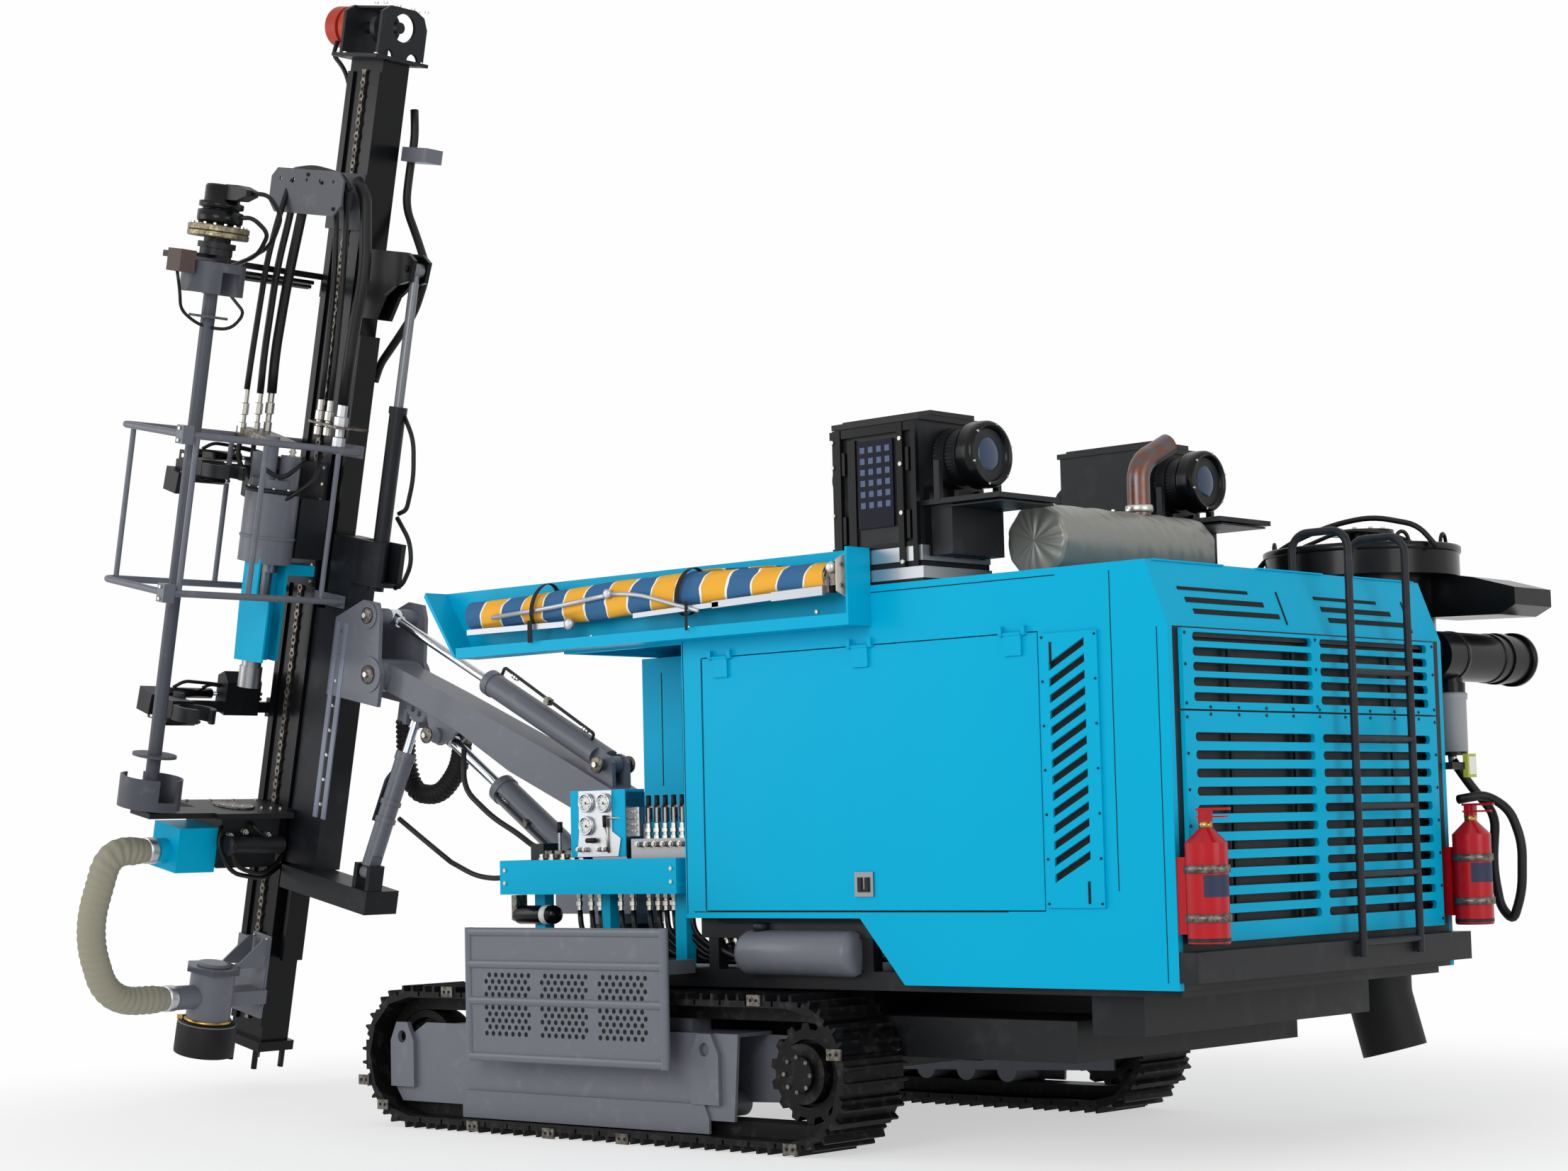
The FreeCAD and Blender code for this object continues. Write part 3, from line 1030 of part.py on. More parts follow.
# Crown at the beam's top with the chain wheel, and the feed motor before it
crown_line = [("-165", "beam_high + 20"), ("165", "beam_high + 20"), ("165", "crown_high - 95"),
              ("135", "crown_high - 30"), ("70", "crown_high"), ("-105", "crown_high"),
              ("-165", "crown_high - 40")]
crown = [block("CrownFlange", ("400", "380", "20"), ("-985", "-200", "beam_high")),
         block("CrownTop", ("347", "160", "12"), ("-962", "-100", "crown_high - 13")),
         plate("CrownFront", "YZ", crown_line, "22", "-962"),
         plate("CrownBack", "YZ", crown_line, "22", "-637"),
         rod("CrownShaft", "32", "350", ("-962", "0", "crown_high - 110"), "X"),
         rod("ChainWheel", "sprocket_radius", "40", ("-807", "0", "crown_high - 110"), "X")]
crown_tools = [rod("CrownHole", "80", "60", ("-650", "0", "crown_high - 110"), "X"),
               rod("CrownArchLeft", "42", "60", ("-650", "-95", "beam_high + 20"), "X"),
               rod("CrownArchRight", "42", "60", ("-650", "85", "beam_high + 20"), "X")]
keep(lean_back(cut("Crown", fuse("CrownSolid", crown), crown_tools)), "crown")
keep(lean_back(fuse("FeedMotor", [
    rod("MotorDrum", "124", "98", ("-1060", "0", "crown_high - 110"), "X"),
    rod("MotorNeck", "88", "40", ("-1098", "0", "crown_high - 110"), "X"),
    rod("MotorEnd", "118", "92", ("-1188", "0", "crown_high - 110"), "X")])), "feed_motor")

# Hose guide that slides on the rails
guide_line = [("-1125", "guide_low + 60"), ("-1065", "guide_low"), ("-530", "guide_low"),
              ("-470", "guide_low + 60"), ("-470", "guide_high - 50"), ("-520", "guide_high"),
              ("-1075", "guide_high"), ("-1125", "guide_high - 50")]
guide = [plate("GuidePlate", "XZ", guide_line, "12", "-406"),
         block("GuideArm", ("120", "270", "100"), ("-840", "-395", "guide_low + 60")),
         block("GuideShoe", ("290", "20", "320"), ("-940", "-131.4", "guide_low - 50"))]
guide_tools = []
for number in range(5):
    guide_tools.append(rod("GuideHole%d" % number, "10", "40",
                           (str(-1040 + number * 120), "-420", "guide_high - 60"), "Y"))
keep(lean_back(cut("HoseGuide", fuse("HoseGuideSolid", guide), guide_tools)), "hose_guide")

# Head carriage and rotary head
carriage = [block("CarriagePlate", ("295", "20", "carriage_high - carriage_low"),
                  ("-945", "-131.4", "carriage_low")),
            block("CarriageWrap", ("14", "71", "carriage_high - carriage_low"),
                  ("-949", "-131.4", "carriage_low")),
            block("CarriageNeck", ("220", "195", "340"), ("-820", "-320", "560"))]
neck_cut = rod("NeckCut", "gear_radius", "800", ("drill_u", "drill_y", "300"))
keep(lean_back(cut("Carriage", fuse("CarriageSolid", carriage), [neck_cut])), "head_carriage")
gear = [rod("GearBox", "gear_radius", "gear_high - gear_low", ("drill_u", "drill_y", "gear_low")),
        rod("GearLid", "gear_radius - 25", "60", ("drill_u", "drill_y", "gear_high - 1")),
        rod("HeadMotorLeft", "58", "200", ("drill_u - 70", "drill_y - 45", "gear_high")),
        rod("HeadMotorRight", "58", "200", ("drill_u + 70", "drill_y + 45", "gear_high")),
        rod("AirSwivel", "40", "300", ("drill_u + 40", "drill_y - 75", "gear_high"))]
gear_bore = rod("GearBore", "spindle_radius + pin_play", "120", ("drill_u", "drill_y",
                                                                 "gear_low - 1"))
keep(lean_back(cut("Gear", fuse("GearSolid", gear), [gear_bore])), "rotary_head")
keep(lean_back(fuse("HeadShield", [
    block("ShieldPlate", ("140", "20", "490"), ("-780", "-340", "-30")),
    block("ShieldSide", ("16", "110", "490"), ("-796", "-340", "-30")),
    block("ShieldTop", ("156", "204", "60"), ("-796", "-340", "460"))])), "head_shield")
spindle = [rod("SpindleBar", "spindle_radius", "gear_low + 110 - spindle_low",
               ("drill_u", "drill_y", "spindle_low")),
           rod("SpindleFlange", "82", "44", ("drill_u", "drill_y", "gear_low - 50")),
           rod("SpindleNose", "64", "120", ("drill_u", "drill_y", "spindle_low"))]
keep(lean_back(fuse("Spindle", spindle)), "spindle")

# Rod carousel with its drive and arms
carousel = [rod("CarouselShaft", "shaft_radius", "2130 - shaft_low",
                ("carousel_u", "carousel_y", "shaft_low")),
            rod("WasherHigh", "105", "14", ("carousel_u", "carousel_y", "1830")),
            rod("WasherLow", "120", "14", ("carousel_u", "carousel_y", "-570"))]
for label, low in (("High", "1960"), ("Low", "-850")):
    cup = rod("Cup" + label, "cup_radius", "cup_height", ("carousel_u", "carousel_y", low))
    room = rod("CupRoom" + label, "cup_radius - 12", "cup_height",
               ("carousel_u", "carousel_y", "(%s) %s" % (low, "- 14" if label == "High" else "+ 14")))
    notch = block("CupNotch" + label, ("400", "110", "130"),
                  ("carousel_u - 200", "carousel_y - 55",
                   "(%s) %s" % (low, "- 10" if label == "High" else "+ 50")))
    carousel.append(cut("CupShell" + label, cup, [room, notch]))
keep(lean_back(fuse("Carousel", carousel)), "rod_carousel")
arm_pieces = [block("DriveFoot", ("89", "90", "120"), ("-1019", "-50", "2040")),
              block("DriveArmOut", ("45", "1100", "34"), ("-1019", "-1145", "2135")),
              block("DriveArmIn", ("45", "60", "130"), ("-1019", "-50", "2039")),
              block("DriveArmAcross", ("500", "90", "34"), ("-1019", "-1145", "2135")),
              rod("DriveFlange", "88", "40", ("carousel_u", "carousel_y", "2168")),
              rod("DriveCollar", "102", "30", ("carousel_u", "carousel_y", "2207")),
              rod("DriveMotor", "72", "320", ("carousel_u", "carousel_y", "2230")),
              block("SignalBox", ("110", "90", "110"), ("-640", "-1370", "2060")),
              block("SignalArm", ("40", "240", "20"), ("-620", "-1370", "2150"))]
keep(lean_back(fuse("CarouselDrive", arm_pieces)), "carousel_drive")


def claw(label, u, y, low, height):
    """A gripper: an arm from the beam's front face, a body and two curved jaws."""
    grip = Vector(u, y, low)
    ring = Part.makeCylinder(120, height, grip).cut(Part.makeCylinder(88, height, grip))
    mouth = Part.makeBox(400, 90, height, grip + Vector(0, -45, 0))
    jaws = ring.cut(mouth)
    body = Part.makeBox(190, 150, height + 30, grip + Vector(-295, -75, -15))
    away = Part.makeBox(36, -45 - y + 75, 60, Vector(-1046, y - 75, low + 5))
    tie = Part.makeBox(60, 150, 60, Vector(-1046, y - 75, low + 5))
    foot_box = Part.makeBox(118, 90, 110, Vector(-1048, -46, low - 20))
    return jaws.fuse([body, away, tie, foot_box]).removeSplitter()


grippers = [claw("High", -700, -800, 970, 70), claw("Low", -700, -800, -390, 80)]
keep(lean_back(made("Grippers", Part.makeCompound(grippers))), "rod_grippers")

# Guard cage round the rotary head
cage = []
near = size("cage_near_u")
far = -985
out = size("cage_out")
for height in (size("cage_low"), size("cage_high")):
    path = [(near, -100, height), (near, out, height), (far, out, height), (far, -20, height)]
    cage.append(tube(path, size("cage_bar"), 60))
    cage.append(Part.makeBox(near + 660, 16, 70, Vector(-645, -111, height - 35)))
    cage.append(Part.makeBox(75, 60, 60, Vector(-1005, -55, height - 30)))
for u, y in ((near, out + 80), (far, out + 80), (near, -760), (near, -260), (far, -560)):
    cage.append(Part.makeCylinder(size("cage_bar") - 4, size("cage_high") - size("cage_low"),
                                  Vector(u, y, size("cage_low"))))
keep(lean_back(made("Cage", cage[0].fuse(cage[1:]).removeSplitter())), "guard_cage")

# Breakout table, its clamp housing and the suction box
table = [block("TableTop", ("420", "620", "30"), ("-900", "-720", "-900")),
         block("TableArm", ("180", "440", "30"), ("-690", "-1150", "-900")),
         rod("TableBearing", "62", "18", ("carousel_u", "carousel_y", "-871"))]
table_tools = [rod("TableHole", "100", "500", ("drill_u", "drill_y", "-1250")),
               block("TableRail", ("800", "200", "500"), ("-1100", "-111", "-1250")),
               block("TableSlot", ("125", "90", "500"), ("-580", "-190", "-1250"))]
keep(lean_back(cut("Table", fuse("TableSolid", table), table_tools)), "breakout_table")
clamp = [block("ClampBody", ("330", "400", "289"), ("-870", "-640", "-1189")),
         block("ClampFoot", ("290", "160", "220"), ("-935", "-270", "-1120")),
         rod("ClampRamNear", "48", "360", ("-480", "-620", "-1050"), "Y"),
         block("ClampRamTie", ("120", "300", "60"), ("-560", "-600", "-1080"))]
clamp_tools = [rod("ClampHole", "100", "500", ("drill_u", "drill_y", "-1250")),
               block("ClampRail", ("800", "200", "500"), ("-1100", "-111", "-1250"))]
keep(lean_back(cut("Clamp", fuse("ClampSolid", clamp), clamp_tools)), "clamp_housing")
keep(lean_back(fuse("Suction", [
    block("SuctionBox", ("240", "260", "250"), ("-800", "-900", "-1215")),
    rod("SuctionNeck", "suction_radius + 6", "90", ("-680", "-985", "-1110"), "Y")])),
    "suction_box")

# Dust hood at the beam's foot, and the hose up to the suction box
hood = [rod("Hood", "hood_radius", "hood_high - hood_low", ("drill_u", "drill_y", "hood_low")),
        rod("Skirt", "skirt_radius", "hood_low - skirt_bottom + 1",
            ("drill_u", "drill_y", "skirt_bottom")),
        rod("BushPlate", "hood_radius + 18", "24", ("drill_u", "drill_y", "hood_high - 12")),
        block("HoodArm", ("150", "239", "80"), ("-775", "-350", "-2010")),
        block("HoodGusset", ("285", "16", "440"), ("beam_front_u", "-127", "-2100")),
        rod("HoodNeck", "suction_radius + 6", "150", ("drill_u", "-710", "-1960"), "Y")]
hood_tools = [rod("HoodHole", "bush_radius", "600", ("drill_u", "drill_y", "-2320")),
              rod("HoodRoom", "hood_radius - 12", "hood_high - skirt_bottom - 30",
                  ("drill_u", "drill_y", "skirt_bottom - 10"))]
keep(lean_back(cut("DustHood", fuse("DustHoodSolid", hood), hood_tools)), "dust_hood")
hose_path = [(-680, -985.2, -1110), (-680, -1260, -1110), (-700, -1330, -1560),
             (-700, -1140, -1960), (-700, -710.2, -1960)]
keep(lean_back(made("DustHose", tube(hose_path, size("suction_radius"), 190))), "dust_hose")

# Checks, then one file for each sub-part
doc.recompute()
for obj in doc.Objects:
    if "Invalid" in obj.State or "Error" in obj.State:
        raise RuntimeError("%s is %s" % (obj.Name, obj.State))
os.makedirs("parts", exist_ok=True)
unsound = [piece.Label for piece in KEPT if piece.Shape.isNull() or not piece.Shape.isValid()
           or piece.Shape.Volume < 1]
if unsound:
    raise RuntimeError("no sound shape: " + ", ".join(unsound))
for piece in KEPT:
    shape = piece.Shape
    shape.exportStep("parts/%s.step" % piece.Label)
    box = shape.BoundBox
    print("%-22s solids %2d  volume %8.1f l  x %6.0f %6.0f  y %6.0f %6.0f  z %6.0f %6.0f" % (
        piece.Label, len(shape.Solids), shape.Volume / 1e6, box.XMin, box.XMax, box.YMin,
        box.YMax, box.ZMin, box.ZMax))
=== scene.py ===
"""Looks of the down-the-hole drilling rig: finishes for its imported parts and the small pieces
around them. Metres, +Z up, the mast at -X, the machine's left side at -Y."""

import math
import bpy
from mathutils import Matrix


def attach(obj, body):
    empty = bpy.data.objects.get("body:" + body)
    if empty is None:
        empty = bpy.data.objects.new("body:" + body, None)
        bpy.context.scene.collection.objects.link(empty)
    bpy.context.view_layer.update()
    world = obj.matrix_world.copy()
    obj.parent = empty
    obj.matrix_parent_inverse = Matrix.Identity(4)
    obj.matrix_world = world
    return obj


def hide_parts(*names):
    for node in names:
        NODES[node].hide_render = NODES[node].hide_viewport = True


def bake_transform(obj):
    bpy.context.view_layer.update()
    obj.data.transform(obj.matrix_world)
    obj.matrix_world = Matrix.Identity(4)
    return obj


bl_info = {
    "name": "Drilling Rig Looks",
    "version": (1, 0, 0),
    "blender": (4, 5, 0),
    "location": "View3D > Sidebar > Rig",
    "description": "Finishes, hoses, fasteners, cloth and controls of a tracked drilling rig",
    "category": "Object",
}

import bpy
import numpy as np
from mathutils import Matrix, Vector

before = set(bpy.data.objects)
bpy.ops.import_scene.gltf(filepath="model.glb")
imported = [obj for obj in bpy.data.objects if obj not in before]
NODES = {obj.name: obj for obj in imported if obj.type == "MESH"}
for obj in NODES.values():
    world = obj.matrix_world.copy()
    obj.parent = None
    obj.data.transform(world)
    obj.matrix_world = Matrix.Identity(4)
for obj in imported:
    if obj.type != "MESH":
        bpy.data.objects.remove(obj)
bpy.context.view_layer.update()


# Mast frame: u across the mast towards the machine, y across the machine, w up the mast
LEAN = math.radians(12.3)
HEAD_PIN = np.array([-2.83, 0.0, 2.30])
MAST_U = np.array([math.cos(LEAN), 0.0, -math.sin(LEAN)])
MAST_W = np.array([math.sin(LEAN), 0.0, math.cos(LEAN)])
ACROSS = np.array([0.0, 1.0, 0.0])
MAST = np.array([MAST_U, ACROSS, MAST_W])
# Axes of a plate in the mast's own plane: outlines of (u, w), carried along y
ON_MAST = {"axes": [MAST_U, MAST_W, ACROSS], "origin": HEAD_PIN}
# Places (u, y) of the spindle's and the carousel's axes
SPINDLE = (-.70, -.45)
CAROUSEL = (-.60, -1.10)

# Directions on the machine
REAR, LEFT, RIGHT, UP, DOWN = (1, 0, 0), (0, -1, 0), (0, 1, 0), (0, 0, 1), (0, 0, -1)

# Finishes by their short names, made by the first operator
MATERIALS = {}


def mast(points):
    """Points of the mast frame (u, y, w) in the machine's frame: head pin + u U + y Y + w W."""
    return HEAD_PIN + np.asarray(points, float) @ MAST


def mast_spot(u, y, w):
    """One point of the mast frame in the machine's frame."""
    return mast([(u, y, w)])[0]


# Meshes
def link_mesh(name, verts, faces, material, body="chassis", uv=None, smooth=False):
    """A mesh object from arrays, at the origin, riding on one body, or on none if it blends."""
    mesh = bpy.data.meshes.new(name)
    mesh.from_pydata(np.asarray(verts).tolist(), [], np.asarray(faces).tolist()
                     if isinstance(faces, np.ndarray) else faces)
    if uv is not None:
        layer = mesh.uv_layers.new(name="UVMap")
        loops = np.empty(len(mesh.loops), np.int32)
        mesh.loops.foreach_get("vertex_index", loops)
        layer.data.foreach_set("uv", np.asarray(uv, np.float32)[loops].ravel())
    mesh.polygons.foreach_set("use_smooth", np.full(len(mesh.polygons), smooth))
    mesh.update()
    piece = bpy.data.objects.new(name, mesh)
    bpy.context.scene.collection.objects.link(piece)
    piece.data.materials.append(MATERIALS[material])
    if body:
        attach(piece, body)
    return piece


def grid_faces(rows, columns, wrap=True):
    """Quads of a grid of rows x columns points; with wrap, the last column meets the first."""
    r = np.arange(rows - 1)[:, None]
    c = np.arange(columns if wrap else columns - 1)[None, :]
    d = (c + 1) % columns
    quads = np.stack([r * columns + c, r * columns + d, (r + 1) * columns + d,
                      (r + 1) * columns + c], -1)
    return quads.reshape(-1, 4)


def ring_caps(rows, columns):
    """The two end faces that close a wrapped grid."""
    first = list(range(columns))[::-1]
    last = [(rows - 1) * columns + i for i in range(columns)]
    return [first, last]


def closed_grid(rows, columns):
    """Faces of a wrapped grid with both of its ends."""
    return grid_faces(rows, columns).tolist() + ring_caps(rows, columns)


def joined(name, parts, material, body="chassis", smooth=False):
    """Several meshes as one piece; each part is (points, faces)."""
    verts, faces, base = [], [], 0
    for points, own in parts:
        verts.append(points)
        faces += [[i + base for i in face] for face in own]
        base += len(points)
    return link_mesh(name, np.concatenate(verts), faces, material, body, smooth=smooth)


def at_each(name, spots, block, faces, material, body):
    """One small block of points and faces at each spot, as one piece."""
    spots = np.asarray(spots, float).reshape(-1, 3)
    return joined(name, [(spot + block, faces) for spot in spots], material, body)


def even_angles(count):
    """Even angles round a circle, from 0."""
    return np.arange(count) / count * 2 * math.pi


def circle(centre, radius, angles, first=0, second=1):
    """Points round a centre: C + r (cos a A + sin a B), A and B being two of its own axes."""
    points = np.tile(np.asarray(centre, float), (len(angles), 1))
    points[:, first] += radius * np.cos(angles)
    points[:, second] += radius * np.sin(angles)
    return points


def ring_about(axis, sides):
    """The unit axis and unit directions square to it: cos a S + sin a O."""
    axis = np.asarray(axis, float) / np.linalg.norm(axis)
    side = np.cross(axis, [0.31, 0.52, 0.79])
    side /= np.linalg.norm(side)
    other = np.cross(axis, side)
    angle = even_angles(sides)
    return axis, np.cos(angle)[:, None] * side + np.sin(angle)[:, None] * other


def round_path(points, radius, steps=5):
    """A path with each inner corner turned into an arc of about the given radius.

    A corner P between A and B is a curve (1-t)^2 S + 2t(1-t) P + t^2 E, with S and E at the
    radius from P towards A and B."""
    points = np.asarray(points, float)
    out = [points[0]]
    for before, corner, after in zip(points, points[1:], points[2:]):
        back = before - corner
        ahead = after - corner
        reach = min(radius, 0.45 * np.linalg.norm(back), 0.45 * np.linalg.norm(ahead))
        start = corner + back / np.linalg.norm(back) * reach
        end = corner + ahead / np.linalg.norm(ahead) * reach
        t = np.linspace(0, 1, steps + 1)[:, None]
        out.extend((1 - t) ** 2 * start + 2 * t * (1 - t) * corner + t ** 2 * end)
    out.append(points[-1])
    return np.array(out)


def even_path(path, count):
    """The path in even steps: how far along it each new point lies, and the points."""
    run = np.concatenate([[0], np.cumsum(np.linalg.norm(np.diff(path, axis=0), axis=1))])
    along = np.linspace(0, run[-1], count)
    return along, np.column_stack([np.interp(along, run, path[:, i]) for i in range(3)])


def tube_points(path, radius, sides):
    """Points of a tube: path(s) + r (cos a N + sin a B), N square to the path and to no axis.

    radius may be one number or one per path point."""
    path = np.asarray(path, float)
    along = np.gradient(path, axis=0)
    along /= np.linalg.norm(along, axis=1)[:, None]
    spread = np.abs(path.max(0) - path.min(0))
    guide = np.eye(3)[int(np.argmin(spread))] + np.array([0.013, 0.017, 0.011])
    normal = np.cross(along, guide)
    normal /= np.linalg.norm(normal, axis=1)[:, None]
    binormal = np.cross(along, normal)
    angle = even_angles(sides)
    reach = np.broadcast_to(np.asarray(radius, float), (len(path),))[:, None, None]
    ring = (np.cos(angle)[None, :, None] * normal[:, None, :]
            + np.sin(angle)[None, :, None] * binormal[:, None, :])
    return (path[:, None, :] + reach * ring).reshape(-1, 3)


def tubes(name, runs, material, body="chassis", sides=10, bend=.08):
    """Several round bars or hoses as one piece; each run is (points, radius)."""
    parts = []
    for points, radius in runs:
        path = round_path(points, bend) if len(points) > 2 else np.asarray(points, float)
        parts.append((tube_points(path, radius, sides), closed_grid(len(path), sides)))
    return joined(name, parts, material, body, smooth=True)


def boxes(name, specs, material, body="chassis", turn=None):
    """Several boxes as one piece; each spec is (centre, size); turn is a 3 x 3 of axes."""
    corner = np.array([[x, y, z] for x in (-.5, .5) for y in (-.5, .5) for z in (-.5, .5)])
    quad = np.array([[0, 1, 3, 2], [4, 6, 7, 5], [0, 4, 5, 1], [2, 3, 7, 6], [0, 2, 6, 4],
                     [1, 5, 7, 3]])
    axes = np.eye(3) if turn is None else np.asarray(turn)
    centres = np.array([c for c, s in specs], float)
    sizes = np.array([s for c, s in specs], float)
    verts = centres[:, None, :] + (corner[None] * sizes[:, None, :]) @ axes
    faces = quad[None] + 8 * np.arange(len(specs))[:, None, None]
    return link_mesh(name, verts.reshape(-1, 3), faces.reshape(-1, 4), material, body)


def bolts(name, spots, axis, radius, height, material, body="chassis", sides=6):
    """Bolt heads as one piece: a prism at each spot, standing along the axis, its foot sunk."""
    sunk, taper = .002, .94
    axis, ring = ring_about(axis, sides)
    ring = radius * ring
    block = np.concatenate([ring - sunk * axis, ring * taper + height * axis])
    return at_each(name, spots, block, closed_grid(2, sides), material, body)


def turned_points(profile, axis, sides):
    """Profile points (along, radius) carried round the axis: along A + radius (a unit ring)."""
    axis, ring = ring_about(axis, sides)
    profile = np.asarray(profile, float)
    return (profile[:, 0, None, None] * axis + profile[:, 1, None, None] * ring[None]).reshape(-1,
                                                                                               3)


def turned(name, profile, centre, axis, material, body="chassis", sides=32, smooth=True):
    """A turned piece: its profile carried round the axis at the centre."""
    verts = np.asarray(centre, float) + turned_points(profile, axis, sides)
    return link_mesh(name, verts, closed_grid(len(profile), sides), material, body, smooth=smooth)


def prism(name, outlines, spread, material, body="chassis", axes=None, origin=(0, 0, 0)):
    """Flat plates as one piece: each outline of (a, b) points is carried along c from spread[0]
    to spread[1]; the rows of axes are the directions of a, b and c."""
    axes = np.array([[1, 0, 0], [0, 0, 1], [0, 1, 0]] if axes is None else axes, float)
    turned_over = np.linalg.det(axes) < 0
    parts = []
    for outline in outlines:
        flat = np.asarray(outline, float)
        following = np.roll(flat, -1, 0)
        clockwise = (flat[:, 0] * following[:, 1] - following[:, 0] * flat[:, 1]).sum() < 0
        if bool(clockwise) != bool(turned_over):
            flat = flat[::-1]
        rows = [np.column_stack([flat, np.full(len(flat), c)]) @ axes for c in spread]
        parts.append((np.asarray(origin, float) + np.concatenate(rows), closed_grid(2, len(flat))))
    return joined(name, parts, material, body)


def ribbons(name, edges, material, body="chassis"):
    """Thin strips as one piece; each is a pair of rows of points, one for each edge."""
    parts = [(np.concatenate(pair), grid_faces(2, len(pair[0]), False).tolist()) for pair in edges]
    return joined(name, parts, material, body)


def fittings(name, spots, axis, length, radius, material, body="chassis"):
    """Hose end fittings as one piece: a hexagon, a collar and a nut at each spot."""
    sides = 8
    # Each row is a share of the length and a share of the radius
    profile = np.array([(0, .6), (0, 1), (.22, 1), (.24, .72), (.40, .72), (.42, 1.12), (.66, 1.12),
                        (.68, .8), (.97, .8), (1, .6)]) * (length, radius)
    return at_each(name, spots, turned_points(profile, axis, sides),
                   closed_grid(len(profile), sides), material, body)


# Materials
def linear(code):
    """An sRGB hex colour as linear RGBA."""
    values = np.array([int(code[i:i + 2], 16) / 255 for i in (1, 3, 5)])
    values = np.where(values <= 0.04045, values / 12.92, ((values + 0.055) / 1.055) ** 2.4)
    return (*values.tolist(), 1.0)


def add(tree, kind, sockets=None, **settings):
    """One node with its settings; a socket takes a value or another node's output."""
    made = tree.nodes.new(kind)
    for key, value in settings.items():
        setattr(made, key, value)
    for key, value in (sockets or {}).items():
        if isinstance(value, bpy.types.NodeSocket):
            tree.links.new(value, made.inputs[key])
        else:
            made.inputs[key].default_value = value
    return made


def finish(name, colour, rough, metallic=0.0, mottled=None, grain=None, coat=0.0, shine=0.25):
    """A finish. mottled is (second colour, patch size in mm, share); grain is (size in mm,
    height in mm) of the surface's texture; shine is the share of light a paint mirrors."""
    material = bpy.data.materials.new(name)
    material.use_nodes = True
    tree = material.node_tree
    shader = tree.nodes["Principled BSDF"]
    shader.inputs["Base Color"].default_value = linear(colour)
    shader.inputs["Roughness"].default_value = rough
    shader.inputs["Metallic"].default_value = metallic
    shader.inputs["Specular IOR Level"].default_value = shine
    shader.inputs["Coat Weight"].default_value = coat
    shader.inputs["Coat Roughness"].default_value = 0.12
    where = add(tree, "ShaderNodeTexCoord")
    if mottled:
        second, patch, share = mottled
        noise = add(tree, "ShaderNodeTexNoise", {"Vector": where.outputs["Object"],
                                                 "Scale": 1000.0 / patch, "Detail": 5.0,
                                                 "Roughness": 0.6})
        ramp = add(tree, "ShaderNodeValToRGB", {"Fac": noise.outputs["Fac"]})
        ramp.color_ramp.elements[0].position = 0.62 - share / 2
        ramp.color_ramp.elements[1].position = 0.80 - share / 2
        ramp.color_ramp.elements[0].color = linear(colour)
        ramp.color_ramp.elements[1].color = linear(second)
        tree.links.new(ramp.outputs["Color"], shader.inputs["Base Color"])
    if grain:
        size, height = grain
        noise = add(tree, "ShaderNodeTexNoise", {"Vector": where.outputs["Object"],
                                                 "Scale": 1000.0 / size, "Detail": 3.0})
        bumped = add(tree, "ShaderNodeBump", {"Height": noise.outputs["Fac"], "Strength": 0.35,
                                              "Distance": height / 1000.0})
        tree.links.new(bumped.outputs["Normal"], shader.inputs["Normal"])
    return material


def striped_cloth(settings):
    """Woven acrylic awning cloth: broad bands with a thin pale line beside each, matt."""
    material = finish("striped_awning_cloth", settings.awning_yellow, 0.85)
    tree = material.node_tree
    shader = tree.nodes["Principled BSDF"]
    place = add(tree, "ShaderNodeUVMap", uv_map="UVMap")
    parts = add(tree, "ShaderNodeSeparateXYZ", {"Vector": place.outputs["UV"]})
    cycle = add(tree, "ShaderNodeMath", {0: parts.outputs["X"], 1: settings.awning_band * 2},
                operation="DIVIDE")
    turn = add(tree, "ShaderNodeMath", {0: cycle.outputs[0]}, operation="FRACT")
    ramp = add(tree, "ShaderNodeValToRGB", {"Fac": turn.outputs[0]})
    bands = ramp.color_ramp
    bands.interpolation = "CONSTANT"
    stops = ((0.0, settings.awning_blue), (0.44, "#e8e6dc"), (0.47, settings.awning_yellow),
             (0.93, "#e8e6dc"), (0.97, settings.awning_blue))
    while len(bands.elements) < len(stops):
        bands.elements.new(0.5)
    for stop, (spot, colour) in zip(bands.elements, stops):
        stop.position = spot
        stop.color = linear(colour)
    tree.links.new(ramp.outputs["Color"], shader.inputs["Base Color"])
    return material


class RigSettings(bpy.types.PropertyGroup):
    """Colours and sizes of the rig's finishes and small pieces"""

    teal: bpy.props.StringProperty(name="Body paint", description="Housing paint, sRGB hex",
                                   default="#009fc6")
    grey: bpy.props.StringProperty(name="Grey paint", description="Boom paint, sRGB hex",
                                   default="#62646d")
    black: bpy.props.StringProperty(name="Black paint", description="Frame paint, sRGB hex",
                                    default="#121316")
    red: bpy.props.StringProperty(name="Red paint", description="Extinguishers, sRGB hex",
                                  default="#a30d19")
    awning_yellow: bpy.props.StringProperty(name="Awning yellow", default="#e0a436",
                                            description="Yellow band, sRGB hex")
    awning_blue: bpy.props.StringProperty(name="Awning blue", default="#33608a",
                                          description="Blue band, sRGB hex")
    awning_band: bpy.props.FloatProperty(name="Awning band", default=0.15, unit="LENGTH",
                                         description="Width of one coloured band")


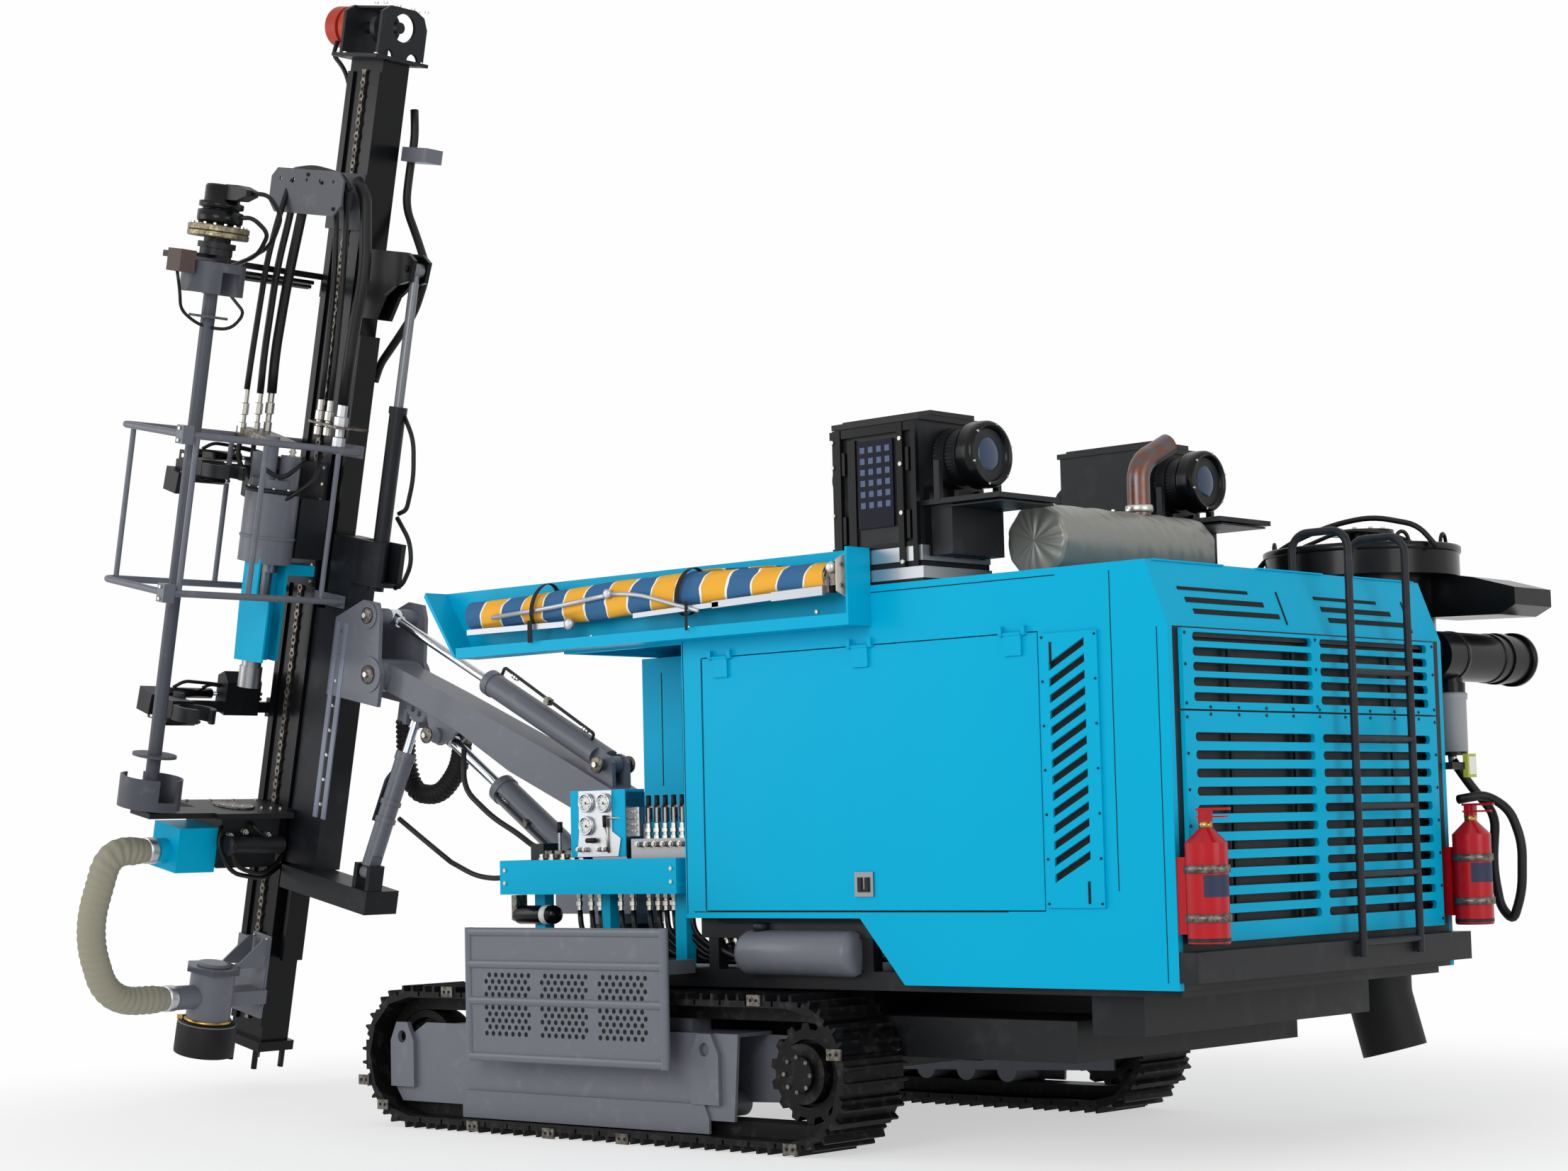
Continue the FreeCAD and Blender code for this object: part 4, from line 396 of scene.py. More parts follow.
class RIG_OT_finishes(bpy.types.Operator):
    """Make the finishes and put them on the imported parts"""

    bl_idname = "rig.finishes"
    bl_label = "Finishes"

    def execute(self, context):
        s = context.scene.rig_settings
        m = MATERIALS
        # Sprayed two-pack enamel: a smooth, bright film with a soft gloss
        m["teal"] = finish("sprayed_enamel_teal", s.teal, 0.34, shine=0.07)
        m["grey"] = finish("sprayed_enamel_grey", s.grey, 0.42, coat=0.1,
                           mottled=("#6e6f76", 90, 0.1))
        m["dark"] = finish("sprayed_enamel_dark_grey", "#1d1e22", 0.42, shine=0.18,
                           mottled=("#292a2f", 120, 0.15))
        m["slate"] = finish("sprayed_enamel_slate", "#44464e", 0.42,
                            mottled=("#53555c", 90, 0.1))
        # Black chassis paint with dust on it
        m["black"] = finish("chassis_paint_black", s.black, 0.45, mottled=("#232427", 150, 0.15))
        m["gloss_black"] = finish("sprayed_enamel_black", "#0b0c0e", 0.25, coat=0.05, shine=0.15)
        # Cast and rolled track steel, dark and dusty, polished where it rubs
        m["track"] = finish("rolled_track_steel", "#0d0c0e", 0.5, 0.1, shine=0.15,
                            mottled=("#2c2927", 60, 0.2), grain=(6, 1.0))
        # Chromed, worked, machined and plated steel, from mirror-bright to a soft sheen
        m["chrome"] = finish("hard_chrome", "#c9ccd0", 0.12, 1.0)
        m["dull_rod"] = finish("dulled_rod_steel", "#6d6f73", 0.35, 0.7)
        m["steel"] = finish("machined_steel", "#8d8f92", 0.32, 1.0)
        m["zinc"] = finish("zinc_plated_steel", "#b4b2aa", 0.34, 1.0)
        # Brushed and anodised aluminium: pale and satin
        m["aluminium"] = finish("brushed_aluminium", "#b8babd", 0.38, 1.0)
        m["anodised"] = finish("anodised_aluminium", "#a9adb3", 0.42, 0.8)
        # Exhaust steel, browned in patches by heat
        m["hot"] = finish("heat_tinted_steel", "#6b4a3c", 0.35, 0.8, mottled=("#5d5658", 45, 0.45))
        # Red enamel, smooth and glossy, and red paint on a rough casting
        m["red"] = finish("sprayed_enamel_red", s.red, 0.28, coat=0.2, shine=0.15)
        m["motor_red"] = finish("cast_iron_painted_red", "#a5301f", 0.45, grain=(8, 0.6))
        # Moulded rubber and hose covers: near black and matt; the grain is drawn coarser than real
        m["rubber"] = finish("moulded_rubber", "#0e0e0f", 0.6, grain=(5, 0.3))
        m["hose"] = finish("braided_hose_rubber", "#0e0e10", 0.45)
        # Woven silver-grey heat cloth and hose canvas, soft and matt, their weave drawn coarse
        m["wrap"] = finish("silicone_glass_cloth", "#86857f", 0.36, 0.25, grain=(3, 0.4))
        m["canvas"] = finish("woven_hose_canvas", "#8f8c7c", 0.9, grain=(4, 0.8))
        m["webbing"] = finish("woven_webbing_black", "#17181b", 0.8)
        # Coated lenses, dark and mirroring, and the dull display with its blank patches
        m["glass"] = finish("coated_lens_glass", "#12304f", 0.08, coat=0.5)
        m["screen"] = finish("dark_display_glass", "#10131e", 0.3, shine=0.1)
        m["icons"] = finish("blank_display_patches", "#465472", 0.4)
        # Plastics: one even colour with a slight sheen
        m["white"] = finish("white_plastic", "#d9dad6", 0.4)
        m["pale_bowl"] = finish("frosted_plastic_bowl", "#8f9296", 0.4)
        m["yellow"] = finish("yellow_green_plastic", "#a8b13a", 0.5)
        # Bright brass, and bare steel and plating that wear has browned in spots
        m["brass"] = finish("turned_brass", "#a58a4d", 0.3, 1.0)
        m["worn_steel"] = finish("worn_bare_steel", "#77736c", 0.42, 0.9,
                                 mottled=("#4c4641", 25, 0.4))
        m["worn_brass"] = finish("worn_brass_plating", "#8d8468", 0.4, 0.9,
                                 mottled=("#5d574c", 20, 0.4))
        # Small painted or printed pieces, matt
        m["brown"] = finish("sensor_box_paint", "#4d3f3a", 0.6)
        m["label"] = finish("blank_printed_label", "#232a44", 0.5)
        m["bare"] = finish("pale_primer_plate", "#c4b8aa", 0.5)
        m["slide"] = finish("grey_slide_strip", "#767c8b", 0.35, 0.2)
        # Radiator fins, dark as painted shade; painted shade in gaps behind slots and holes, and dark
        # joints between panels
        m["core"] = finish("radiator_fins", "#1c1b1a", 0.6, 0.4)
        m["gap"] = finish("dark_marks_and_painted_shade", "#0b0c0d", 0.8)
        m["stripes"] = striped_cloth(s)
        paint = {
            "teal": ("side_wall_left", "side_wall_right", "roof_panel", "front_cabinet",
                     "rear_grilles", "door_left", "door_right", "awning_tray", "control_tray",
                     "suction_box", "head_shield", "vent_louvres"),
            "gloss_black": ("dust_collector", "feed_beam"),
            "grey": ("step_guards", "boom_post", "boom", "lift_barrel", "dump_barrel",
                     "roll_barrel", "swing_barrel", "head_bracket", "guard_cage", "dust_hood",
                     "rotary_head", "track_frames"),
            "slate": ("hose_guide", "rod_carousel"),
            "dark": ("feed_cradle", "head_carriage", "ladder", "crown"),
            "black": ("chassis_frame", "base_deck", "breakout_table", "clamp_housing",
                      "carousel_drive", "rod_grippers", "roof_units", "rear_frame"),
            "track": ("track_left", "track_right", "track_wheels"),
            "worn_steel": ("feed_chain",),
            "dull_rod": ("extension_rod",),
            "chrome": ("lift_rod", "dump_rod", "roll_rod", "swing_rod"),
            "steel": ("control_valves", "spindle"),
            "red": ("fire_extinguishers",),
            "motor_red": ("feed_motor",),
            # The engine block wears the radiator fins' dark finish, which is painted shade
            "core": ("engine_block",),
            "wrap": ("muffler_wrap",),
            "canvas": ("dust_hose",),
            "rubber": ("discharge_boot",),
            "hot": ("exhaust_pipe",),
            "white": ("awning_roll",),
        }
        for key, names in paint.items():
            for name in names:
                data = NODES[name].data
                data.materials.clear()
                data.materials.append(m[key])
        return {"FINISHED"}


def wave(angle, along, seed):
    """Smooth folds: a few sines of the angle and the place along, from -1 to 1."""
    rng = np.random.default_rng(seed)
    total = np.zeros(np.broadcast(angle, along).shape)
    for turns in (2, 3, 5, 8, 11):
        total += (np.sin(turns * angle + rng.uniform(3, 9) * along * 2 + rng.uniform(0, 6))
                  / turns ** 0.6)
    return total / 2.6


class RIG_OT_awning(bpy.types.Operator):
    """The rolled striped awning with its arms, straps and end gear"""

    bl_idname = "rig.awning"
    bl_label = "Rolled awning"

    def execute(self, context):
        low, high = -0.87, 1.45
        middle = np.array([-1.132, 2.466])
        # Cloth: a spiral r = a + b turn, its outer turns dented and turned round the bar
        rows, turns, per_turn = 180, 4, 56
        x = np.linspace(low, high, rows)[:, None]
        turn = np.linspace(0, turns, turns * per_turn + 1)[None, :]
        angle = turn * 2 * math.pi
        share = turn / turns
        radius = 0.028 + 0.040 * share
        folds = wave(angle, x, 3)
        radius = radius * (1 + share ** 3 * (0.19 * folds + 0.07 * np.sin(2 * angle + 2.6 * x)))
        swell = 1 + 0.10 * np.sin(3.1 * x + 0.6) * share
        radius = np.minimum(radius * swell, 0.083)
        y = middle[0] + radius * np.cos(angle + 1.1)
        z = middle[1] + 1.22 * radius * np.sin(angle + 1.1) + 0.012 * share * np.sin(2.2 * x)
        verts = np.stack([np.broadcast_to(x, y.shape), y, z], -1).reshape(-1, 3)
        laid = np.concatenate([np.zeros((rows, 1)),
                               np.cumsum(np.hypot(np.diff(y, axis=1), np.diff(z, axis=1)), 1)], 1)
        skew = x + 0.30 * laid + 0.024 * wave(angle * 0.5, x * 3, 8)
        uv = np.stack([skew, laid], -1).reshape(-1, 2)
        cloth = link_mesh("awning_cloth", verts, grid_faces(rows, y.shape[1], False), "stripes",
                          "chassis", uv=uv, smooth=True)
        thick = cloth.modifiers.new("cloth", "SOLIDIFY")
        thick.thickness = 0.0016
        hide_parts("awning_roll")
        tubes("awning_axle", [([(low - 0.02, *middle), (1.588, *middle)], 0.024)], "aluminium",
              sides=20)
        # Folding arms of extruded aluminium under and over the roll
        front = -1.197
        bars = [((-0.84, front, 2.372), (-0.12, front, 2.368), 0.030),
                ((0.30, front, 2.376), (0.84, front, 2.392), 0.026),
                ((0.80, front, 2.392), (1.16, front, 2.402), 0.036),
                ((1.16, front, 2.402), (1.46, front, 2.408), 0.046)]
        parts = []
        for a, b, tall in bars:
            edge = np.array([[0, -.009, -.5 * tall], [0, .011, -.5 * tall], [0, .011, .5 * tall],
                             [0, -.009, .36 * tall]])
            parts.append((np.concatenate([a + edge, b + edge]), closed_grid(2, 4)))
        joined("awning_arms", parts, "anodised")
        rods = [([(-0.66, front - .006, 2.43), (-0.2, front - .006, 2.452),
                  (0.16, front - .010, 2.482)], 0.011),
                ([(0.13, front - .012, 2.486), (0.34, front - .012, 2.47),
                  (0.56, front - .010, 2.41), (0.72, front - .010, 2.368)], 0.010)]
        tubes("awning_arm_rods", rods, "anodised", bend=0.12)
        turned("awning_arm_knuckle", [(-.016, .012), (-.014, .022), (.012, .022), (.015, .012)],
               (0.145, front - .012, 2.485), RIGHT, "anodised", sides=20)
        turned("awning_arm_hinge", [(-.016, .012), (-.014, .026), (.012, .026), (.015, .012)],
               (-0.13, front + .001, 2.366), RIGHT, "anodised", sides=20)
        # Straps round the roll, their tails hanging
        edges = []
        half_width = np.array([0.013, 0, 0])
        for place in (-0.36, 0.60):
            ring = np.linspace(0, 2 * math.pi, 33)
            points = np.stack([place + 0.03 * np.sin(ring), middle[0] - .004 + 0.086 * np.cos(ring),
                               middle[1] + 0.107 * np.sin(ring)], -1)
            edges.append((points - half_width, points + half_width))
        straps = ribbons("awning_straps", edges, "webbing")
        straps.modifiers.new("webbing", "SOLIDIFY").thickness = 0.003
        tails = [((-0.375, -1.222, 2.345), (0.030, 0.004, 0.105)),
                 ((0.655, -1.222, 2.35), (0.014, 0.004, 0.13))]
        boxes("awning_strap_tails", tails, "webbing")
        # End gear: a worn disc, its gearbox and knob
        turned("awning_end_disc", [(-.006, .02), (-.006, .045), (.002, .050), (.006, .045),
                                   (.006, .02)], (1.574, -1.136, 2.46), REAR, "zinc", sides=36,
               smooth=False)
        plate = [[(-1.230, 2.395), (-1.105, 2.350), (-1.072, 2.360), (-1.072, 2.560),
                  (-1.134, 2.578), (-1.230, 2.530)]]
        prism("awning_end_plate", plate, (1.560, 1.566), "bare", "chassis", axes=[RIGHT, UP, REAR])
        bolts("awning_plate_bolts", [(1.566, -1.205, 2.51), (1.566, -1.205, 2.42),
                                     (1.566, -1.10, 2.545), (1.566, -1.10, 2.38)], REAR, .010, .008,
              "zinc")
        boxes("awning_gearbox", [((1.515, -1.15, 2.468), (0.085, 0.074, 0.085)),
                                 ((1.47, -1.165, 2.430), (0.03, 0.05, 0.07))], "worn_steel")
        turned("awning_gear_knob", [(-.03, .008), (-.03, .020), (-.012, .026), (.012, .026),
                                    (.03, .016), (.034, .004)], (1.52, -1.198, 2.50), RIGHT, "zinc",
               sides=20)
        places = ((-.55, 2.30), (-.12, 2.31), (.22, 2.30), (.52, 2.31), (1.30, 2.33), (1.52, 2.33))
        bolts("awning_tray_bolts", [(x, -1.062, z) for x, z in places], LEFT, .010, .007, "zinc")
        return {"FINISHED"}


class RIG_OT_muffler(bpy.types.Operator):
    """The cloth jacket of the muffler, gathered at its ends, with its clamp"""

    bl_idname = "rig.muffler"
    bl_label = "Muffler jacket"

    def execute(self, context):
        centre = np.array([2.13, 0.0, 2.60])
        # The profile runs from one end's middle over the edge, along and to the other's middle
        end = np.linspace(0.004, 0.150, 16)
        edge = np.linspace(0, math.pi / 2, 6)[1:]
        half = 0.565
        along = np.concatenate([np.full(16, -half), -half + 0.012 * (1 - np.cos(edge)) + 0.003,
                                np.linspace(-half + 0.03, half - 0.03, 90),
                                half - 0.012 * (1 - np.cos(edge[::-1])) - 0.003,
                                np.full(16, half)])
        radius = np.concatenate([end, 0.150 + 0.012 * np.sin(edge), np.full(90, 0.162),
                                 0.150 + 0.012 * np.sin(edge[::-1]), end[::-1]])
        sides = 160
        angle = even_angles(sides)[None, :]
        place = along[:, None]
        on_end = (np.abs(place) > half - 0.001)
        pleat = 0.007 * np.sin(14 * angle + 2 * np.sin(3 * angle)) + 0.006 * wave(angle, place, 5)
        bulge = 0.016 * (1 - (radius[:, None] / 0.16) ** 2)
        push = np.where(on_end, np.sign(place) * (bulge + pleat * radius[:, None] / 0.12
                                                  * (1 - radius[:, None] / 0.17)), 0)
        near = np.exp(-((half - np.abs(place)) / 0.09) ** 2)
        folds = (0.0035 * np.sin(9 * angle + 20 * place) * near
                 + 0.0052 * wave(angle * 1, place * 4, 11)
                 + 0.0050 * wave(angle * 2, place * 9, 12) * np.cos(angle) ** 2)
        seam = -0.005 * np.exp(-((half - 0.022 - np.abs(place)) / 0.006) ** 2)
        reach = radius[:, None] + np.where(on_end, 0, folds + seam)
        sag = 1 - 0.03 * (np.sin(angle) < 0) * np.abs(np.sin(angle))
        verts = np.stack([centre[0] + reach * np.cos(angle) + 0 * place,
                          centre[1] + place + push + 0 * angle,
                          centre[2] + reach * np.sin(angle) * sag], -1).reshape(-1, 3)
        rows = len(along)
        # The profile runs against the axis here, so every face is turned over
        faces = [face[::-1] for face in closed_grid(rows, sides)]
        jacket = link_mesh("muffler_jacket", verts, faces, "wrap", "chassis", smooth=True)
        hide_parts("muffler_wrap")
        boxes("muffler_saddles", [((2.13, y, 2.455), (0.22, 0.06, 0.065)) for y in (-.39, .39)],
              "black")
        ring = [(-.016, .052), (-.016, .060), (-.012, .063), (.012, .063), (.016, .060),
                (.016, .052)]
        turned("exhaust_clamp", ring, (2.13, 0.20, 2.785), UP, "zinc", sides=30)
        boxes("jacket_flap", [((2.13, 0.075, 2.70), (0.13, 0.005, 0.15))], "wrap", "chassis",
              turn=[[1, 0, 0], [0, 0.2, -0.98], [0, 0.98, 0.2]])
        bolts("jacket_studs", [(2.09, 0.055, 2.765), (2.17, 0.055, 2.765), (2.13, 0.0, 2.764)], UP,
              .009, .006, "zinc")
        return {"FINISHED"}


class RIG_OT_roof_units(bpy.types.Operator):
    """Frames, blank display, lenses and fixings of the two roof units"""

    bl_idname = "rig.roof_units"
    bl_label = "Roof units"

    def execute(self, context):
        frames, bands, screens, icons, studs, ribs = [], [], [], [], [], []
        for side in (-1, 1):
            y = side * 0.81
            face = y + side * 0.222
            for x, wide in ((1.425, .045), (1.785, .03), (1.86, .025)):
                frames.append(((x, face + side * .010, 2.80), (wide, .022, .62)))
            frames += [((1.62, face + side * .008, 3.09), (.47, .018, .035)),
                       ((1.50, face + side * .004, 2.80), (.045, .010, .52)),
                       ((1.62, face + side * .006, 2.585), (.47, .014, .02)),
                       ((1.462, face + side * .012, 2.67), (.016, .012, .12)),
                       ((1.462, face + side * .012, 2.96), (.016, .012, .10)),
                       ((1.823, face + side * .010, 2.95), (.018, .016, .10)),
                       ((1.823, face + side * .010, 2.67), (.018, .016, .12))]
            for y_end in (-.17, .0, .17):
                frames.append(((1.884, y + y_end, 2.68), (.024, .03, .30)))
            bands += [((1.635, y, 2.545), (.505, .462, .065)),
                      ((1.635, y, 2.462), (.515, .466, .05))]
            screens.append(((1.635, face + side * .004, 2.86), (.20, .010, .38)))
            icons += [((1.565 + .047 * column, face + side * .0095, 3.01 - .048 * row),
                       (.026, .002, .026)) for column in range(4) for row in range(6)]
            for z in (2.53, 2.74, 2.95, 3.06):
                studs += [(1.405, face + side * .020, z), (1.79, face + side * .020, z - .02)]
            ribs += [((1.635, y, 3.15), (.50, .30, .02)), ((2.08, y, 2.735), (.40, .36, .008)),
                     ((1.96, y - side * .20, 2.845), (.03, .025, .17)),
                     ((1.96, y + side * .20, 2.845), (.03, .025, .17))]
            lens = "left" if side < 0 else "right"
            spot = (2.09, y, 2.96)
            turned("lens_hood_" + lens, [(-.10, .124), (-.085, .143), (-.07, .146), (-.045, .142),
                                         (-.03, .146), (-.004, .144), (.010, .136), (.012, .122),
                                         (-.006, .112), (-.022, .104), (-.026, .02)], spot, REAR,
                   "gloss_black", sides=64)
            turned("lens_rings_" + lens, [(-.024, .102), (-.012, .098), (-.014, .088),
                                          (-.022, .082), (-.018, .070), (-.022, .06), (-.024, .02)],
                   spot, REAR, "dark", sides=64)
            dome = [(-.022, .088)] + [(-.022 + .022 * math.cos(a), .086 * math.sin(a))
                                      for a in np.linspace(1.45, 0.03, 12)]
            turned("lens_glass_" + lens, dome, spot, REAR, "glass", sides=48)
            turned("lens_barrel_" + lens, [(-.40, .118), (-.39, .128), (-.36, .128), (-.355, .122),
                                           (-.30, .122), (-.295, .132), (-.24, .132), (-.235, .122),
                                           (-.12, .122)], spot, REAR, "black", sides=48)
            turned("eyepiece_" + lens, [(-.02, .03), (-.02, .078), (-.008, .086), (.03, .087),
                                        (.04, .080), (.06, .080), (.066, .088), (.11, .088)],
                   (1.272, y, 2.92), REAR, "rubber", sides=40)
            lugs = circle((2.10, y, 2.96), .133, even_angles(6) + .3, 1, 2)
            bolts("lens_lugs_" + lens, lugs, REAR, .006, .004, "zinc")
        boxes("unit_frames", frames, "gloss_black")
        boxes("unit_bands", bands, "aluminium")
        boxes("unit_screens", screens, "screen")
        boxes("unit_icons", icons, "icons")
        boxes("unit_ribs", ribs, "black")
        bolts("unit_studs", [p for p in studs if p[1] < 0], LEFT, .011, .008, "zinc")
        bolts("unit_studs_far", [p for p in studs if p[1] > 0], RIGHT, .011, .008, "zinc")
        return {"FINISHED"}


class RIG_OT_housing(bpy.types.Operator):
    """Panel gaps, fixings, latch, painted shade behind the louvres and grille trim of the housing"""

    bl_idname = "rig.housing"
    bl_label = "Housing trim"

    def execute(self, context):
        seams, latches = [], []
        for side in (-1, 1):
            y = side * 1.0505
            # Each row: x and z of a joint between panels, its width and its height
            seams += [((x, y, z), (wide, .001, high)) for x, z, wide, high in (
                (1.52, 2.392, 2.14, .004), (2.862, 1.75, .004, 1.28), (1.4, 1.028, 1.8, .004),
                (.575, 1.60, .004, 1.13), (.46, 1.70, .004, 1.36), (3.085, 1.45, .004, 1.40))]
            latches.append(((1.525, side * 1.054, 1.145), (.105, .010, .105)))
        boxes("panel_gaps", seams, "gap")
        boxes("latch_plate", latches[:1], "steel", "left_door")
        boxes("latch_plate_far", latches[1:], "steel", "right_door")
        boxes("latch_handle", [((1.505, -1.061, 1.145), (.022, .010, .06)),
                               ((1.545, -1.061, 1.145), (.022, .010, .06)),
                               ((1.525, -1.0605, 1.118), (.065, .006, .012))], "dark", "left_door")
        boxes("latch_handle_far", [((1.525, 1.061, 1.145), (.05, .010, .06))], "dark", "right_door")
        # A dark sheet behind the louvres: painted shade in their openings
        boxes("louvre_painted_shade", [((2.655, -1.046, 1.60), (.27, .003, 1.10))], "gap")
        boxes("louvre_marks", [((2.565, -1.063, 2.075), (.012, .002, .09)),
                               ((2.725, -1.063, 1.105), (.012, .002, .09))], "gap")
        rows = np.linspace(1.06, 2.14, 7)
        spots = [(x, -1.062, z) for z in rows for x in (2.522, 2.788)]
        bolts("louvre_bolts", spots, LEFT, .006, .004, "dark")
        spots = [(3.157, y, z) for z in np.linspace(.93, 1.79, 7) for y in (-.965, .935)]
        spots += [(3.157, y, z) for z in (1.845, 2.0, 2.125) for y in (-.965, .935, -.015)]
        spots += [(3.157, y, z) for y in np.linspace(-.8, .8, 9) for z in (1.803, 1.832)]
        bolts("grille_bolts", spots, REAR, .007, .004, "dark")
        # Slotted ornament over the upper grille, drawn as dark inlays on the sloping roof end: painted
        # shade in the slots
        edge = np.array([3.035, 0, 2.423])
        slope = np.array([3.137, 0, 2.152]) - edge
        slope /= np.linalg.norm(slope)
        out = np.array([-slope[2], 0, slope[0]])
        turn = np.array([slope, RIGHT, out])
        proud = out * 0.0015
        marks = []
        for first in (-.93, .07):
            for number, (length, shift) in enumerate(((.50, .04), (.56, .07), (.62, .10))):
                middle = edge + slope * (0.12 + number * .05) + proud
                marks.append(((middle[0], first + shift + length / 2, middle[2]),
                              (.022 if number else .014, length, .003)))
            middle = edge + slope * 0.18 + proud
            marks.append(((middle[0], first + .76, middle[2]), (.15, .010, .003)))
        boxes("grille_slot_shade", marks, "gap", "chassis", turn=turn)
        boxes("roof_edge", [((3.033, y, 2.4235), (.02, .50, .006)) for y in (-.75, 0, .75)], "teal")
        # Narrow radiator tie bars that show between the slots, in the fins' dark painted shade
        boxes("radiator_ties", [((3.128, y, 1.5), (.012, .022, 1.15))
                                for y in (-.62, -.15, .30, .62)], "core")
        spots = [(x, -1.063, z) for x in (-.752, .370) for z in (1.165, 1.225)]
        bolts("tray_bolts", spots, LEFT, .011, .006, "zinc")
        return {"FINISHED"}


class RIG_OT_console(bpy.types.Operator):
    """Gauges, levers, valves and fittings of the control tray"""

    bl_idname = "rig.console"
    bl_label = "Control tray"

    def execute(self, context):
        boxes("gauge_cabinet", [((-.207, -.900, 1.438), (.37, .128, .314))], "teal")
        prism("gauge_panel", [[(-.341, 1.283), (-.065, 1.283), (-.047, 1.367), (-.104, 1.40),
                               (-.104, 1.592), (-.327, 1.592), (-.327, 1.40)]], (-.972, -.9635),
              "aluminium")
        needles = []
        for number, (x, z) in enumerate(((-.269, 1.537), (-.150, 1.534), (-.269, 1.429))):
            rim = [(.0, .030), (.0, .046), (.016, .046), (.020, .041), (.018, .037), (.010, .036)]
            turned("dial_rim_%d" % number, rim, (x, -.972, z), LEFT, "chrome", sides=32)
            turned("dial_face_%d" % number, [(.004, .037), (.010, .037), (.0105, .002)],
                   (x, -.972, z), LEFT, "white", sides=32)
            needles += [((x + .006, -.9835, z - .006), (.024, .001, .003)),
                        ((x, -.9835, z), (.008, .002, .008))]
            for a in np.linspace(-.7, 3.84, 9):
                needles.append(((x + .029 * math.cos(a), -.9832, z + .029 * math.sin(a)),
                                (.004, .001, .004)))
        boxes("dial_marks", needles, "gap")
        tubes("panel_handles", [([(-.262, -.985, 1.359), (-.206, -.985, 1.359)], .012),
                                ([(-.139, -.985, 1.42), (-.141, -.985, 1.475)], .010)], "rubber")
        tubes("panel_rods", [([(-.234, -.965, 1.359), (-.234, -.99, 1.359)], .006),
                             ([(-.126, -.975, 1.30), (-.139, -.985, 1.43)], .005),
                             ([(-.12, -.985, 1.462), (.01, -.93, 1.459)], .004)], "zinc", sides=8)
        fittings("panel_valves", [(x, -.970, 1.317) for x in (-.32, -.278, -.185, -.145)], LEFT,
                 .028, .012, "zinc")
        # Relief valve block beside the gauges
        boxes("valve_block", [((-.004, -.90, 1.442), (.07, .05, .135))], "aluminium")
        spots = [(x, -.925, z) for x in (-.022, .012) for z in (1.40, 1.43, 1.46, 1.49)]
        bolts("valve_block_plugs", spots, LEFT, .008, .008, "zinc")
        tubes("valve_post", [([(.050, -.90, 1.28), (.051, -.90, 1.43)], .013)], "grey", sides=12)
        # Directional valve bank: bonnets, forks and black grips on each lever
        places = [.07 + .055 * n for n in range(6)]
        fittings("bonnets", [(x, -.90, 1.360) for x in places], UP, .075, .017, "zinc")
        fittings("bonnet_ports", [(x, -.962, 1.335) for x in places], LEFT, .028, .013, "zinc")
        forks = [((x + d, -.90, 1.475), (.004, .018, .075)) for x in places for d in (-.013, .013)]
        boxes("lever_forks", forks + [((.205, -.90, 1.508), (.30, .012, .010))], "worn_steel")
        grips = [([(x, -.90, 1.505), (x, -.90, 1.562)], .0125) for x in places]
        grips += [([(x, -.86, 1.40), (x, -.86, 1.452)], .014) for x in (-.58, -.43)]
        tubes("lever_grips", grips, "rubber", sides=12)
        fittings("stack_plugs", [(x, -.942, 1.245) for x in (-.62, -.55, -.47, -.40, -.34)], UP,
                 .055, .016, "zinc")
        boxes("stack_covers", [((x, -.87, 1.29), (.05, .10, .05))
                               for x in (-.60, -.53, -.46, -.39)], "worn_steel")
        boxes("stack_motor", [((-.70, -.84, 1.30), (.09, .12, .10))], "black")
        # Ports, hoses and the filter below the tray
        ports = [-.42, -.32, -.25, -.108, -.038, .056, .108, .155, .205, .25, .284, .337]
        fittings("tray_ports", [(x, -.90 + .02 * math.sin(9 * x), 1.108) for x in ports], DOWN,
                 .085, .015, "zinc")
        runs = []
        for number, x in enumerate(ports):
            y = -.90 + .02 * math.sin(9 * x)
            low = .80 + .012 * (number % 4)
            runs.append(([(x, y, 1.03), (x + .01, y, .93), (x + .10, y + .06, low),
                          (x + .45 + .05 * (number % 3), y + .16, low - .01)], .013))
        tubes("tray_hoses", runs, "hose", bend=.10)
        turned("tray_filter", [(-.14, .02), (-.14, .040), (-.125, .045), (.11, .045), (.13, .038),
                               (.14, .02)], (-.665, -.93, 1.01), REAR, "gloss_black", sides=28)
        turned("filter_band", [(-.02, .044), (-.018, .0465), (.018, .0465), (.02, .044)],
               (-.60, -.93, 1.01), REAR, "white", sides=28)
        boxes("filter_bracket", [((-.80, -.93, 1.045), (.035, .07, .12)),
                                 ((-.80, -.93, .995), (.05, .04, .03))], "worn_steel")
        return {"FINISHED"}


